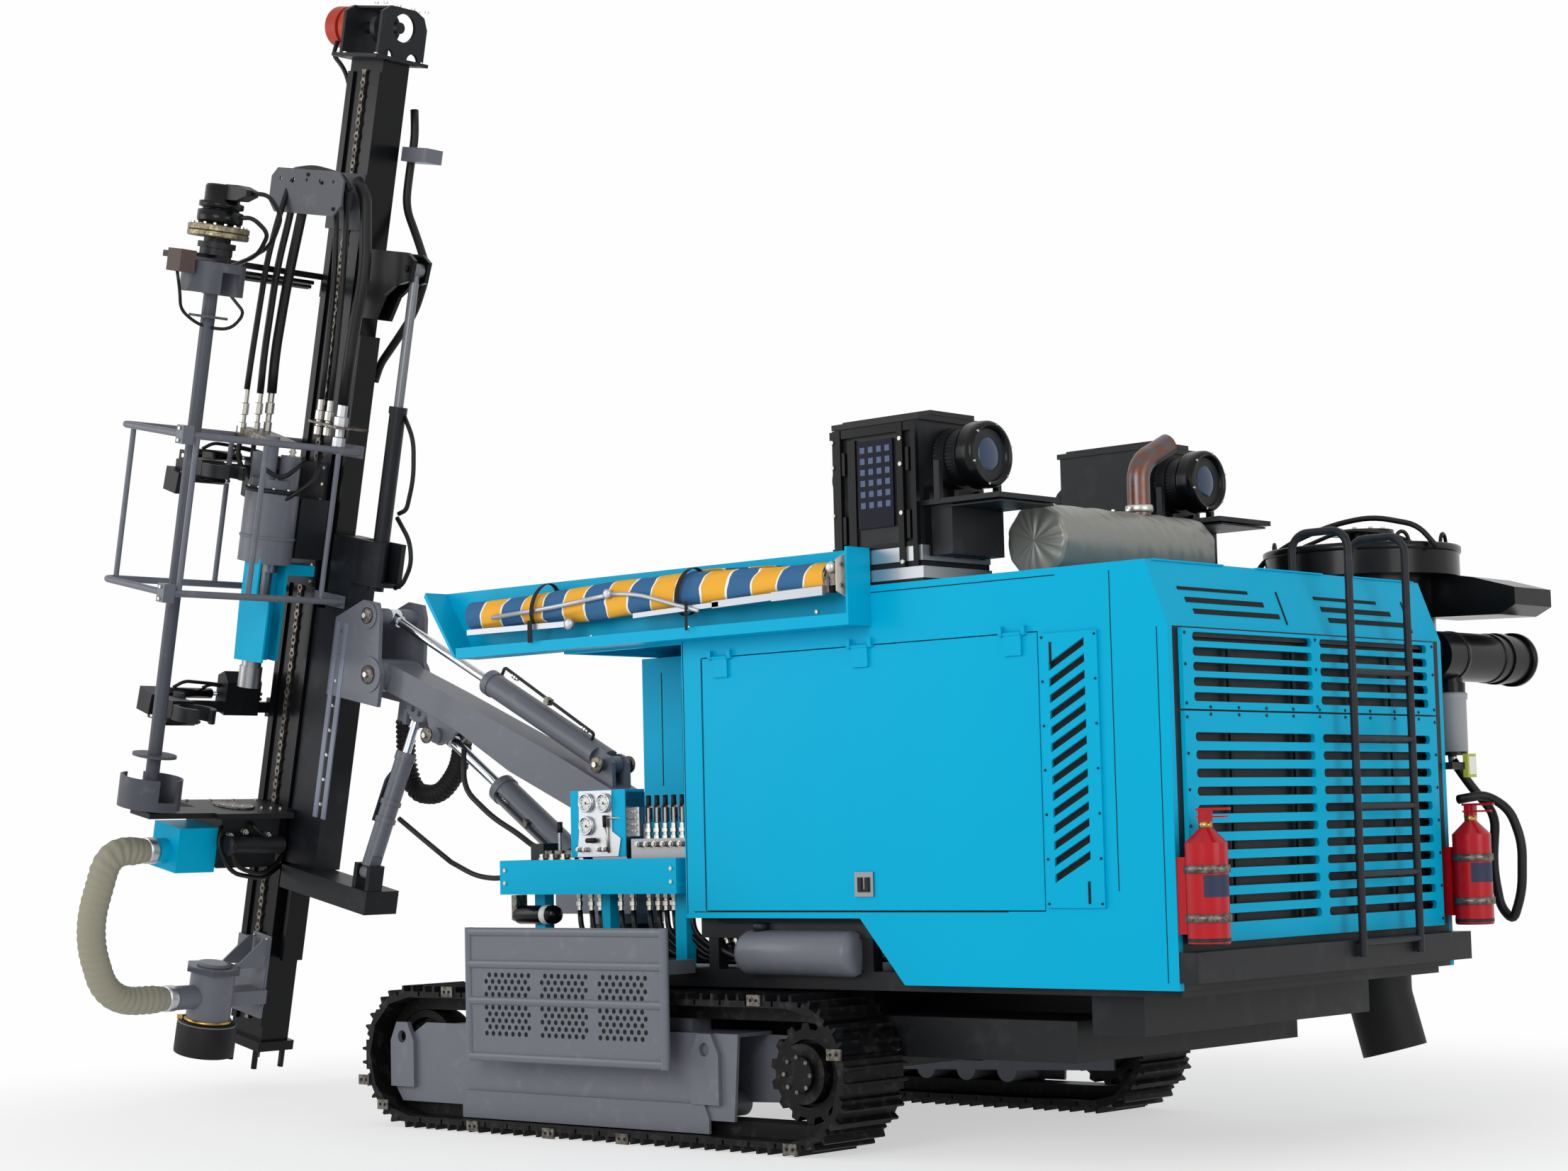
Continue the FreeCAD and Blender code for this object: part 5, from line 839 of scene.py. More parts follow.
class RIG_OT_mast_hoses(bpy.types.Operator):
    """Hoses from the guide down to the head and the beam, with their fittings"""

    bl_idname = "rig.mast_hoses"
    bl_label = "Mast hoses"

    def execute(self, context):
        # Each row: a hose's points (u, y, w) from the guide down to the head, then its radius
        left = [((-.99, -.370, 2.66), (-.945, -.455, 2.46), (-.925, -.515, 2.20),
                 (-.930, -.535, 1.68), (-.932, -.540, 1.44), .017),
                ((-.93, -.365, 2.68), (-.940, -.385, 2.46), (-.925, -.440, 2.16),
                 (-.930, -.452, 1.68), (-.925, -.450, 1.45), .020),
                ((-.85, -.350, 2.69), (-.875, -.355, 2.46), (-.888, -.385, 2.10),
                 (-.905, -.395, 1.69), (-.900, -.390, 1.46), .028)]
        for number, (*points, radius) in enumerate(left):
            path = mast(points)
            run = tubes("head_hose_%d" % number, [(path, radius)], "hose", None, sides=14, bend=.25)
            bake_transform(run)
        # The same for the hoses down to the beam, as (u, w)
        right = [((-.70, 2.69), (-.630, 2.50), (-.580, 2.14), (-.565, 1.80), (-.560, 1.45), .016),
                 ((-.62, 2.68), (-.580, 2.50), (-.540, 2.14), (-.520, 1.80), (-.515, 1.45), .016),
                 ((-.56, 2.70), (-.470, 2.62), (-.390, 2.20), (-.430, 1.88), (-.437, 1.45), .034)]
        for number, (*points, radius) in enumerate(right):
            path = mast([(u, -.30 + .03 * number, w) for u, w in points])
            run = tubes("beam_hose_%d" % number, [(path, radius)], "hose", None, sides=14, bend=.25)
            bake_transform(run)
        arches = []
        for number, y in enumerate((-.372, -.35, -.325)):
            arches.append((mast([(-1.00 + .07 * number, y, 2.64), (-.98 + .07 * number, y, 2.72),
                                 (-.80, y, 2.745 - .01 * number), (-.60, y, 2.72),
                                 (-.57 + .03 * number, y, 2.64)]), .018))
        tubes("guide_arches", arches, "hose", "guide", sides=12, bend=.10)
        tops = [(-.932, -.540, 1.22), (-.925, -.450, 1.23), (-.900, -.390, 1.24)]
        fittings("head_fittings", mast(tops), MAST_W, .25, .024, "zinc", "head")
        plates = [[(-.960, 1.20), (-.64, 1.18), (-.64, 1.21), (-.80, 1.235), (-.960, 1.255)]]
        prism("head_manifold", plates, (-.560, -.37), "worn_steel", "head", **ON_MAST)
        tails = [(mast([(-.932, -.540, 1.23), (-.930, -.550, 1.10), (-.90, -.540, 1.03),
                        (-.82, -.520, .975)]), .015),
                 (mast([(-.925, -.450, 1.24), (-.920, -.455, 1.10), (-.88, -.46, 1.01),
                        (-.80, -.44, .965)]), .015),
                 (mast([(-.70, -.52, 1.14), (-.66, -.56, 1.04), (-.52, -.53, 1.00),
                        (-.50, -.40, 1.12)]), .013),
                 (mast([(-.52, -.30, 1.16), (-.47, -.34, 1.02), (-.53, -.42, .93),
                        (-.60, -.52, .84)]), .013)]
        tubes("head_tails", tails, "hose", "head")
        fittings("head_ports", mast([(-.77, -.52, .99), (-.63, -.38, .99), (-.77, -.44, 1.125),
                                     (-.63, -.40, 1.125)]), MAST_W, .05, .02, "zinc", "head")
        fittings("beam_fittings", mast([(-.560, -.30, 1.27), (-.515, -.27, 1.27)]), MAST_W, .20,
                 .022, "zinc", "beam")
        fittings("beam_fitting_wide", mast([(-.437, -.24, 1.21)]), MAST_W, .26, .038, "aluminium",
                 "beam")
        prism("fitting_bracket", [[(-.61, 1.333), (-.36, 1.318), (-.36, 1.330), (-.61, 1.345)]],
              (-.335, -.10), "worn_steel", "beam", **ON_MAST)
        spots = mast([(-1.06, -.407, 2.52), (-.53, -.407, 2.52), (-.93, -.407, 2.66),
                      (-.66, -.407, 2.66), (-.79, -.407, 2.70)])
        bolts("guide_bolts", spots, LEFT, .012, .006, "gap", "guide")
        return {"FINISHED"}


class RIG_OT_head(bpy.types.Operator):
    """Fixings and gear rings of the rotary head and its carriage"""

    bl_idname = "rig.head"
    bl_label = "Rotary head"

    def execute(self, context):
        spots = [(u, -.132, w) for w in np.linspace(.43, 1.08, 8) for u in (-.925, -.668)]
        bolts("carriage_bolts", mast(spots), LEFT, .011, .008, "zinc", "head")
        turned("gear_band", [(-.006, .149), (-.004, .156), (.010, .156), (.012, .149)],
               mast_spot(*SPINDLE, .66), MAST_W, "grey", "head", sides=48)
        turned("gear_flange", [(-.012, .10), (-.012, .158), (.012, .158), (.014, .12)],
               mast_spot(*SPINDLE, .925), MAST_W, "black", "head", sides=48)
        ring = circle((*SPINDLE, .937), .14, even_angles(10))
        bolts("gear_bolts", mast(ring), MAST_W, .010, .008, "zinc", "head")
        return {"FINISHED"}


class RIG_OT_carousel(bpy.types.Operator):
    """Motor, ring, hoses and sensor of the rod carousel"""

    bl_idname = "rig.carousel"
    bl_label = "Rod carousel"

    def execute(self, context):
        # The motor is a stack of turned bodies on a bolted brass-coloured ring
        centre = mast_spot(*CAROUSEL, 0)
        stack = [(2.335, .080), (2.335, .112), (2.352, .123), (2.405, .123), (2.412, .098),
                 (2.418, .098), (2.424, .120), (2.452, .120), (2.458, .096), (2.535, .096),
                 (2.548, .088), (2.552, .03)]
        turned("carousel_motor", stack, centre, MAST_W, "gloss_black", "beam", sides=40)
        turned("carousel_ring", [(2.262, .09), (2.262, .158), (2.268, .165), (2.290, .165),
                                 (2.294, .158), (2.298, .165), (2.322, .165), (2.328, .158),
                                 (2.332, .08)], centre, MAST_W, "worn_brass", "beam", sides=48,
               smooth=False)
        ring = circle((*CAROUSEL, 2.328), .142, even_angles(16))
        bolts("carousel_ring_bolts", mast(ring), MAST_W, .010, .010, "zinc", "beam")
        prism("carousel_port_block", [[(-.53, 2.47), (-.42, 2.47), (-.34, 2.50), (-.34, 2.53),
                                       (-.42, 2.552), (-.53, 2.552)]], (-1.14, -1.06), "black",
              "beam", **ON_MAST)
        runs = [[(-.35, -1.10, 2.515), (-.25, -1.06, 2.52), (-.22, -.98, 2.42), (-.36, -.92, 2.26),
                 (-.74, -.86, 2.13), (-.98, -.74, 2.108), (-1.00, -.12, 2.112)],
                [(-.43, -1.10, 2.38), (-.34, -1.08, 2.39), (-.29, -1.00, 2.32), (-.44, -.94, 2.20),
                 (-.78, -.90, 2.11), (-1.015, -.80, 2.085), (-1.02, -.12, 2.088)]]
        tubes("carousel_hoses", [(mast(run), .012) for run in runs], "hose", "beam", bend=.10)
        cable = [(-.585, -1.345, 2.06), (-.60, -1.30, 1.95), (-.66, -1.24, 1.85),
                 (-.60, -1.14, 1.78), (-.50, -1.02, 1.78), (-.52, -.92, 1.88),
                 (-.90, -.84, 2.04), (-1.03, -.74, 2.075), (-1.04, -.12, 2.08)]
        tubes("sensor_cable", [(mast(cable), .009)], "hose", "beam", sides=8, bend=.12)
        prism("sensor_box", [[(-.645, 2.055), (-.525, 2.055), (-.525, 2.175), (-.645, 2.175)]],
              (-1.374, -1.276), "brown", "beam", **ON_MAST)
        return {"FINISHED"}


class RIG_OT_grippers(bpy.types.Operator):
    """Clamps of the cage, and rams, cheeks and hoses of the grippers"""

    bl_idname = "rig.grippers"
    bl_label = "Cage and grippers"

    def execute(self, context):
        clamps = [[(-.43, w - .05), (-.37, w - .05), (-.37, w + .05), (-.43, w + .05)]
                  for w in (.35, 1.20)]
        prism("cage_clamps", clamps, (-1.335, -1.265), "grey", "beam", **ON_MAST)
        spots = [(-.40, -1.336, w + d) for w in (.35, 1.20) for d in (-.032, .032)]
        bolts("cage_clamp_bolts", mast(spots), LEFT, .010, .008, "zinc", "beam")
        for name, low in (("high", .97), ("low", -.39)):
            w = low + .10
            v = w - .125
            tubes("gripper_rams_" + name, [(mast([(-1.085, -.74, w), (-1.085, -.42, w)]), .030),
                                           (mast([(-.83, -.90, v), (-.83, -.70, v)]), .022)],
                  "gloss_black", "beam", sides=14)
            tubes("gripper_rods_" + name, [(mast([(-1.085, -.42, w), (-1.085, -.24, w)]), .014),
                                           (mast([(-.83, -.70, v), (-.83, -.66, v)]), .011)],
                  "chrome", "beam")
            shapes = [[(-1.01, low - .03), (-.86, low - .03), (-.86, low + .02), (-.92, low + .12),
                       (-1.01, low + .12)]]
            prism("gripper_cheeks_" + name, shapes, (-.885, -.870), "black", "beam", **ON_MAST)
            prism("gripper_cheeks_in_" + name, shapes, (-.730, -.715), "black", "beam", **ON_MAST)
            bolts("gripper_pins_" + name, mast([(-.96, -.887, low + .09), (-.89, -.887, low - .01),
                                                (-.96, -.887, low - .01)]), LEFT, .014, .010,
                  "zinc", "beam")
            runs = [[(-1.085, -.68, w + .03), (-1.07, -.62, w + .07), (-1.05, -.40, w + .06),
                     (-1.03, -.10, w + .01)],
                    [(-1.085, -.48, w + .03), (-1.07, -.44, w + .055), (-1.05, -.30, w + .04),
                     (-1.03, -.10, w - .02)]]
            tubes("gripper_hoses_" + name, [(mast(run), .010) for run in runs], "hose", "beam",
                  sides=8)
        return {"FINISHED"}


class RIG_OT_table(bpy.types.Operator):
    """Studs, wear ring, ports and hoses of the breakout table"""

    bl_idname = "rig.table"
    bl_label = "Breakout table"

    def execute(self, context):
        row = [(-.60 - .015 * n, -.20 - .055 * n, -.869) for n in range(7)]
        row += [(-.86, y, -.869) for y in (-.66, -.50, -.34, -.18)]
        bolts("table_studs", mast(row), MAST_W, .010, .009, "zinc", "beam")
        turned("table_ring", [(-.002, .101), (-.002, .118), (.008, .118), (.012, .112),
                              (.008, .101)], mast_spot(*SPINDLE, -.870), MAST_W, "worn_steel",
               "beam", sides=40)
        runs = [([(-.48, -.62, -1.05), (-.44, -.58, -1.16), (-.46, -.40, -1.22),
                  (-.55, -.22, -1.18), (-.60, -.12, -1.10)], .013),
                ([(-.54, -.64, -.95), (-.50, -.68, -1.05), (-.46, -.60, -1.20), (-.50, -.34, -1.25),
                  (-.62, -.13, -1.20)], .013),
                ([(-.53, -.45, -.93), (-.48, -.42, -.98), (-.47, -.30, -1.05), (-.60, -.13, -1.02)],
                 .011)]
        tubes("clamp_hoses", [(mast(run), radius) for run, radius in runs], "hose", "beam")
        fittings("clamp_ports", mast([(-.535, -.60, -1.0), (-.535, -.50, -.98),
                                      (-.535, -.34, -1.0)]), MAST_U, .05, .016, "zinc", "beam")
        turned("clamp_ram_end", [(-.02, .02), (-.02, .056), (.01, .056), (.012, .048)],
               mast_spot(-.48, -.615, -1.05), RIGHT, "dark", "beam", sides=28)
        return {"FINISHED"}


class RIG_OT_mast_plates(bpy.types.Operator):
    """Apron round the spindle, painted shade between the chain's links, slide strips and gripper
    bodies
    """

    bl_idname = "rig.mast_plates"
    bl_label = "Mast plates"

    def execute(self, context):
        prism("shield_apron", [[(-.727, .33), (-.59, .335), (-.59, .545), (-.727, .53)],
                               [(-.719, -.035), (-.47, -.02), (-.47, .335), (-.735, .32)]],
              (-.562, -.550), "teal", "head", **ON_MAST)
        prism("shield_apron_side", [[(-.719, -.035), (-.707, -.035), (-.715, .53), (-.727, .53)]],
              (-.550, -.34), "teal", "head", **ON_MAST)
        # Dark strips at the chain's pitch: painted shade in the gaps between its links
        gap, pitch = .018, .038
        chain = [[(-.797, w), (-.777, w), (-.777, w + gap), (-.797, w + gap)]
                 for w in np.arange(-2.10, 3.32, pitch)]
        prism("chain_link_shade", chain, (-.1108, -.109), "gap", "beam", **ON_MAST)
        strips = [[(u, -.86), (u + .034, -.86), (u + .034, .25), (u, .25)] for u in (-.335, -.262)]
        prism("slide_strips", strips, (-.177, -.168), "slide", "cradle", **ON_MAST)
        bolts("slide_bolts", mast([(-.282, -.171, w) for w in np.arange(-.78, .25, .14)]), LEFT,
              .010, .008, "zinc", "cradle")
        for name, low in (("high", .86), ("low", -.38)):
            body = [(-1.085, low), (-.99, low - .02), (-.985, low + .17), (-1.03, low + .23),
                    (-1.085, low + .20)]
            jaw = [(-1.06, low), (-.945, low - .015), (-.930, low + .10), (-1.05, low + .13)]
            prism("gripper_bodies_" + name, [body], (-.38, -.14), "black", "beam", **ON_MAST)
            prism("gripper_jaws_" + name, [jaw], (-.93, -.82), "black", "beam", **ON_MAST)
        return {"FINISHED"}


class RIG_OT_hood(bpy.types.Operator):
    """Bracket plate, ribs, skirt, band and hose clamps of the dust hood"""

    bl_idname = "rig.hood"
    bl_label = "Dust hood"

    def execute(self, context):
        prism("hood_bracket", [[(-.80, -2.03), (-.640, -2.03), (-.640, -1.62), (-.80, -1.62)]],
              (-.124, -.112), "grey", "beam", **ON_MAST)
        rib = [(-.35, -1.80), (-.14, -1.80), (-.14, -1.64), (-.17, -1.64)]
        for name, spread in (("hood_ribs", (-.790, -.778)), ("hood_rib_far", (-.655, -.643))):
            prism(name, [rib], spread, "grey", "beam", axes=[ACROSS, MAST_W, MAST_U],
                  origin=HEAD_PIN)
        places = ((-.78, -1.64), (-.66, -1.64), (-.74, -1.66), (-.70, -1.66), (-.74, -1.69),
                  (-.70, -1.69), (-.66, -1.75), (-.66, -2.0))
        spots = [(u, -.129, w) for u, w in places]
        bolts("hood_bolts", mast(spots), LEFT, .010, .006, "zinc", "beam")
        low = mast_spot(*SPINDLE, 0)
        turned("hood_skirt", [(-2.286, .150), (-2.288, .168), (-2.280, .170), (-2.120, .168),
                              (-2.108, .160), (-2.106, .128)], low, MAST_W, "rubber", "beam", sides=56)
        turned("hood_band", [(-2.108, .124), (-2.108, .134), (-2.086, .134), (-2.086, .124)], low,
               MAST_W, "brass", "beam", sides=56)
        boxes("hood_band_lock", [(mast_spot(-.80, -.555, -2.097), (.05, .03, .025))], "brass",
              "beam")
        collar = circle(SPINDLE, .168, even_angles(6) + .4)
        prism("hood_collar", [collar], (-1.815, -1.790), "slate", "beam",
              axes=[MAST_U, ACROSS, MAST_W], origin=HEAD_PIN)
        turned("hood_cap", [(-1.790, .062), (-1.790, .095), (-1.776, .098), (-1.770, .092),
                            (-1.770, .066)], low, MAST_W, "grey", "beam", sides=48)
        for name, spot in (("low", (-.70, -.735, -1.96)), ("high", (-.68, -1.0, -1.11))):
            turned("hose_clamp_" + name, [(-.030, .060), (-.030, .072), (-.014, .074), (.014, .074),
                                          (.030, .072), (.030, .060)], mast_spot(*spot), RIGHT,
                   "aluminium", "beam", sides=36)
        return {"FINISHED"}


class RIG_OT_crown(bpy.types.Operator):
    """Fixings of the crown and the loops of hose behind the mast"""

    bl_idname = "rig.crown"
    bl_label = "Crown and loops"

    def execute(self, context):
        top = [(-.62, y, 3.708) for y in (-.15, -.05, .05, .15)]
        bolts("crown_bolts", mast(top + [(-.70, y, 3.708) for y in (-.15, .15)]), MAST_W, .012,
              .010, "zinc", "beam")
        flange = [(u, y, 3.418) for u in (-.62, -.90) for y in (-.175, .155)]
        bolts("crown_flange_bolts", mast(flange), MAST_W, .012, .010, "zinc", "beam")
        ring = circle((-1.06, 0, 3.595), .106, even_angles(8), 1, 2)
        bolts("feed_motor_bolts", mast(ring), -MAST_U, .011, .010, "zinc", "beam")
        tubes("feed_motor_hoses", [(mast([(-1.10, -.08, 3.50), (-1.10, -.10, 3.42),
                                          (-1.00, -.08, 3.34), (-.95, -.05, 3.2)]), .013)], "hose",
              "beam", bend=.06)
        # Loops of hose behind the mast, held by clips on the beam and, as (x, z), on the cradle
        loops = [[(-2.735, 3.749), (-2.657, 3.607), (-2.662, 3.388), (-2.726, 3.218),
                  (-2.793, 3.203)],
                 [(-2.807, 3.182), (-2.700, 3.04), (-2.690, 2.908), (-2.768, 2.805),
                  (-2.835, 2.788)]]
        first = mast([(-.639, .165, 3.16), (-.604, .165, 3.005), (-.614, .165, 2.80),
                      (-.610, .165, 2.611), (-.463, .165, 2.425), (-.345, .165, 2.257),
                      (-.414, .165, 2.018), (-.523, .165, 1.872), (-.66, .165, 1.702),
                      (-.69, .165, 1.60)])
        prism("loop_bracket", [[(-.60, 2.86), (-.385, 2.86), (-.385, 2.94), (-.60, 2.94)]],
              (.08, .20), "grey", "beam", **ON_MAST)
        tubes("beam_loop", [(first, .024)], "hose", "beam", sides=12, bend=.16)
        tubes("cradle_loops", [([(x, .02, z) for x, z in loop], .013) for loop in loops], "hose",
              "cradle")
        return {"FINISHED"}


class RIG_OT_hose_cloth(bpy.types.Operator):
    """The canvas suction hose with its spiral folds"""

    bl_idname = "rig.hose_cloth"
    bl_label = "Suction hose"

    def execute(self, context):
        corners = [(-.680, -.992, -1.110), (-.680, -1.260, -1.110), (-.700, -1.330, -1.560),
                   (-.700, -1.140, -1.960), (-.700, -.722, -1.960)]
        path = round_path(mast(corners), .190, 24)
        # Even steps along the path, then rings whose radius waves with a slow spiral
        rows, sides = 260, 64
        even, path = even_path(path, rows)
        ring = tube_points(path, 1.0, sides).reshape(rows, sides, 3) - path[:, None, :]
        angle = even_angles(sides)[None, :]
        place = even[:, None]
        pitch = 0.042
        spiral = np.sin(2 * math.pi * place / pitch + angle)
        creases = wave(angle, place * 9, 21)
        ends = np.minimum(place, even[-1] - place)
        # The hose grows from its clamped ends to its full bulk, wound and creased by a few mm
        clamped, bulk = 0.0615, 0.0150
        swell = np.clip((ends - 0.03) / 0.09, 0, 1) ** 0.7
        reach = clamped + swell * (bulk + 0.0018 * spiral
                                   + 0.0036 * creases * (0.6 + 0.4 * np.sin(place * 7)))
        verts = path[:, None, :] + ring * reach[..., None]
        hose = link_mesh("suction_hose", verts.reshape(-1, 3), grid_faces(rows, sides), "canvas",
                         "beam", smooth=True)
        hose.modifiers.new("canvas", "SOLIDIFY").thickness = 0.0018
        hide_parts("dust_hose")
        return {"FINISHED"}


class RIG_OT_boom(bpy.types.Operator):
    """Pin caps, pipes and hoses of the boom and its cylinders"""

    bl_idname = "rig.boom"
    bl_label = "Boom trim"

    def execute(self, context):
        head = tuple(HEAD_PIN)
        tilt = mast_spot(-.070, 0, .320)
        # Each row: pin, x, z, half its length, its cap's radius, the body it rides on
        caps = [("foot", -.96, 1.50, .190, .050, "post"),
                ("head", head[0], head[2], .183, .052, "feed_head"),
                ("tilt", tilt[0], tilt[2], .183, .045, "feed_head"),
                ("lift_eye", -2.386, 1.948, .144, .045, "boom_arm"),
                ("lift_base", -1.31, 1.215, .110, .045, "post"),
                ("dump_base", -1.093, 1.745, .110, .045, "boom_arm")]
        for name, x, z, y, radius, body in caps:
            for side, mark in ((-1, "left"), (1, "right")):
                spot = (x, side * (y - .001), z)
                cap = [(0, .01), (0, radius), (.010, radius), (.014, radius - .006), (.015, .01)]
                turned("pin_cap_%s_%s" % (name, mark), cap, spot, (0, side, 0), "worn_steel", body)
                bolts("pin_bolt_%s_%s" % (name, mark), [(x, side * (y + .014), z)], (0, side, 0),
                      .017, .014, "zinc", body)
        # Steel pipes on the barrels, with their clamps and end blocks. Each row: name, the pipe's
        # ends on the barrel, how far out it lies, the way out where it isn't above, the body
        pipes = [("dump", (-1.25, -.020, 1.832), (-1.93, -.020, 2.215), .082, None,
                  "dump_cylinder"),
                 ("lift", (-1.42, 0, 1.29), (-1.90, 0, 1.617), .090, LEFT, "lift_cylinder")]
        for name, start, end, out, way, body in pipes:
            start, end = np.array(start), np.array(end)
            along = (end - start) / np.linalg.norm(end - start)
            above = np.array(way or (along[2], 0, -along[0]), float)
            pipe = [start + above * (out - .035), start + above * (out + .006),
                    end + above * (out + .006), end + above * (out - .035)]
            tubes(name + "_pipe", [(pipe, .009)], "dark", body, bend=.025)
            blocks = [start + (end - start) * share + above * (out - .004)
                      for share in (.12, .5, .9)]
            clamp = [(-.018, -.014), (.018, -.014), (.018, .020), (-.018, .020)]
            prism(name + "_pipe_clamps", [clamp], (-.018, .018), "worn_steel", body,
                  axes=[along, above, np.cross(along, above)], origin=blocks[1])
            fittings(name + "_pipe_nuts", [blocks[0], blocks[2]], -along, .05, .013, "zinc", body)
        # Hoses that hang between the mast and the boom
        runs = [("mast_hose_low", [(-2.560, -.20, 1.500), (-2.362, -.20, 1.386),
                                   (-2.140, -.20, 1.262)], .014, "feed_head", "boom_arm"),
                ("boom_hose_low", [(-2.140, -.20, 1.262), (-1.940, -.20, 1.185),
                                   (-1.760, -.20, 1.168), (-1.600, -.19, 1.20),
                                   (-1.45, -.16, 1.30)], .014, "boom_arm", "post"),
                ("boom_hose_high", [(-2.067, -.16, 1.860), (-2.040, -.19, 1.649),
                                    (-1.800, -.20, 1.49), (-1.613, -.20, 1.406),
                                    (-1.500, -.18, 1.33), (-1.40, -.16, 1.32)], .015, "boom_arm",
                 "post")]
        for name, points, radius, first, second in runs:
            hose = tubes(name, [(points, radius)], "hose", None, bend=.14)
            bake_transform(hose)
        # The ribbed sleeve behind the boom's head
        points = [(-3.02, .24, 2.060), (-3.10, .31, 1.830), (-3.04, .32, 1.650),
                  (-2.820, .32, 1.630), (-2.640, .31, 1.780), (-2.500, .22, 2.000)]
        even, path = even_path(round_path(points, .16, 40), 330)
        rib, sides = .030, 28
        radius = .050 + .006 * np.sin(even * 2 * math.pi / rib)
        sleeve = link_mesh("ribbed_sleeve", tube_points(path, radius, sides),
                           closed_grid(len(path), sides), "rubber", None, smooth=True)
        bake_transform(sleeve)
        # Roll cylinder's collar, port and pipe
        base = mast_spot(.130, -.110, -1.085)
        eye = mast_spot(.130, .100, -.215)
        along = (eye - base) / np.linalg.norm(eye - base)
        spot = base + along * .30
        for number, shift in enumerate((0, .10)):
            turned("roll_band_%d" % number, [(-.014, .050), (-.014, .060), (.014, .060),
                                             (.014, .050)], spot + along * shift, along, "grey",
                   "roll_cylinder", smooth=False)
        tubes("roll_pipe", [([spot + (-.035, -.055, .0), spot + along * .24 + (-.035, -.055, .0),
                              spot + along * .29 + (-.02, -.035, .0)], .010)], "dark",
              "roll_cylinder", bend=.02)
        return {"FINISHED"}


class RIG_OT_collector(bpy.types.Operator):
    """Rims, bolts, lifting eyes and hoses of the dust collector"""

    bl_idname = "rig.collector"
    bl_label = "Dust collector"

    def execute(self, context):
        # The collector's upright axis
        x, y = 2.52, 1.43
        turned("lid_rim", [(2.600, .440), (2.600, .456), (2.606, .459), (2.628, .459),
                           (2.634, .452), (2.634, .430)], (x, y, 0), UP, "gloss_black", sides=72)
        turned("lid_step", [(2.620, .30), (2.640, .30), (2.650, .29), (2.652, .064)], (x, y, 0), UP,
               "gloss_black", sides=60)
        bolts("lid_bolts", circle((x, y, 2.625), .38, even_angles(20)), UP, .014, .012, "zinc")
        bolts("wheel_bolts", circle((x, y, 2.723), .12, even_angles(10)), UP, .011, .010, "zinc")
        eyes = []
        for a in (-.55, .15, 2.6, 3.6):
            out = np.array([math.cos(a), math.sin(a), 0])
            side = np.array([-out[1], out[0], 0])
            base = np.array([x, y, 2.628]) + .405 * out
            turn = np.linspace(0, math.pi, 9)
            eyes.append(([base + side * .035 * math.cos(t) + np.array([0, 0, .055 * math.sin(t)])
                          for t in turn], .009))
        tubes("lifting_eyes", eyes, "gloss_black", sides=8, bend=.01)
        runs = [([(2.094, 1.16, 2.40), (2.094, 1.18, 2.57), (2.296, 1.20, 2.684),
                  (2.513, 1.22, 2.746), (2.703, 1.24, 2.766), (2.927, 1.26, 2.709),
                  (3.00, 1.30, 2.60)], .013),
                ([(2.18, 1.12, 2.43), (2.30, 1.14, 2.62), (2.60, 1.16, 2.71), (2.80, 1.20, 2.68),
                  (2.86, 1.30, 2.64)], .010)]
        tubes("lid_hoses", runs, "hose", bend=.10)
        turned("collector_bands", [(1.30, .329), (1.30, .337), (1.33, .337), (1.33, .329)],
               (x, y, 0), UP, "black", sides=64, smooth=False)
        turned("collector_flange", [(1.140, .325), (1.140, .350), (1.165, .350), (1.165, .325)],
               (x, y, 0), UP, "black", sides=64, smooth=False)
        bolts("flange_bolts", circle((x, y, 1.165), .340, even_angles(20)), UP, .010, .010, "zinc")
        turned("boot_clamp", [(.775, .148), (.775, .157), (.800, .157), (.800, .148)], (x, y, 0),
               UP, "zinc", sides=48)
        return {"FINISHED"}


class RIG_OT_cleaner(bpy.types.Operator):
    """Bands, end cap, bowl and gauge of the air cleaner, and the hose coil"""

    bl_idname = "rig.cleaner"
    bl_label = "Air cleaner"

    def execute(self, context):
        drum = (3.03, 1.14, 2.10)
        for number, place in enumerate((.16, .50)):
            band = [(place - .012, .110), (place - .012, .1155), (place + .012, .1155),
                    (place + .012, .110)]
            turned("cleaner_band_%d" % number, band, drum, RIGHT, "gloss_black", sides=48)
        turned("cleaner_end", [(.735, .118), (.735, .126), (.765, .126), (.775, .118), (.775, .060),
                               (.768, .050), (.768, .01)], drum, RIGHT, "gloss_black", sides=48)
        bowl = (3.03, 1.30, 0)
        turned("filter_bowl", [(1.655, .030), (1.655, .062), (1.668, .0715), (1.90, .0725),
                               (1.905, .078), (1.93, .078), (1.935, .068)], bowl, UP, "pale_bowl",
               sides=40)
        turned("bowl_drain", [(1.61, .010), (1.61, .018), (1.64, .020), (1.656, .020)], bowl, UP,
               "zinc", sides=20)
        boxes("small_gauge", [((3.172, 1.20, 1.60), (.024, .075, .105))], "yellow")
        boxes("small_gauge_face", [((3.186, 1.20, 1.60), (.004, .055, .080))], "white")
        boxes("gauge_foot", [((3.12, 1.13, 1.60), (.10, .16, .03))], "black")
        tubes("rear_hose_coil", [([(3.03, 1.30, 1.63), (3.09, 1.36, 1.50), (3.180, 1.40, 1.38),
                                   (3.155, 1.40, 1.146), (3.185, 1.40, .965), (3.245, 1.40, .90),
                                   (3.295, 1.40, 1.034), (3.306, 1.40, 1.255), (3.262, 1.38, 1.400),
                                   (3.17, 1.34, 1.47), (3.11, 1.20, 1.45)], .021)], "hose",
              sides=12, bend=.14)
        return {"FINISHED"}


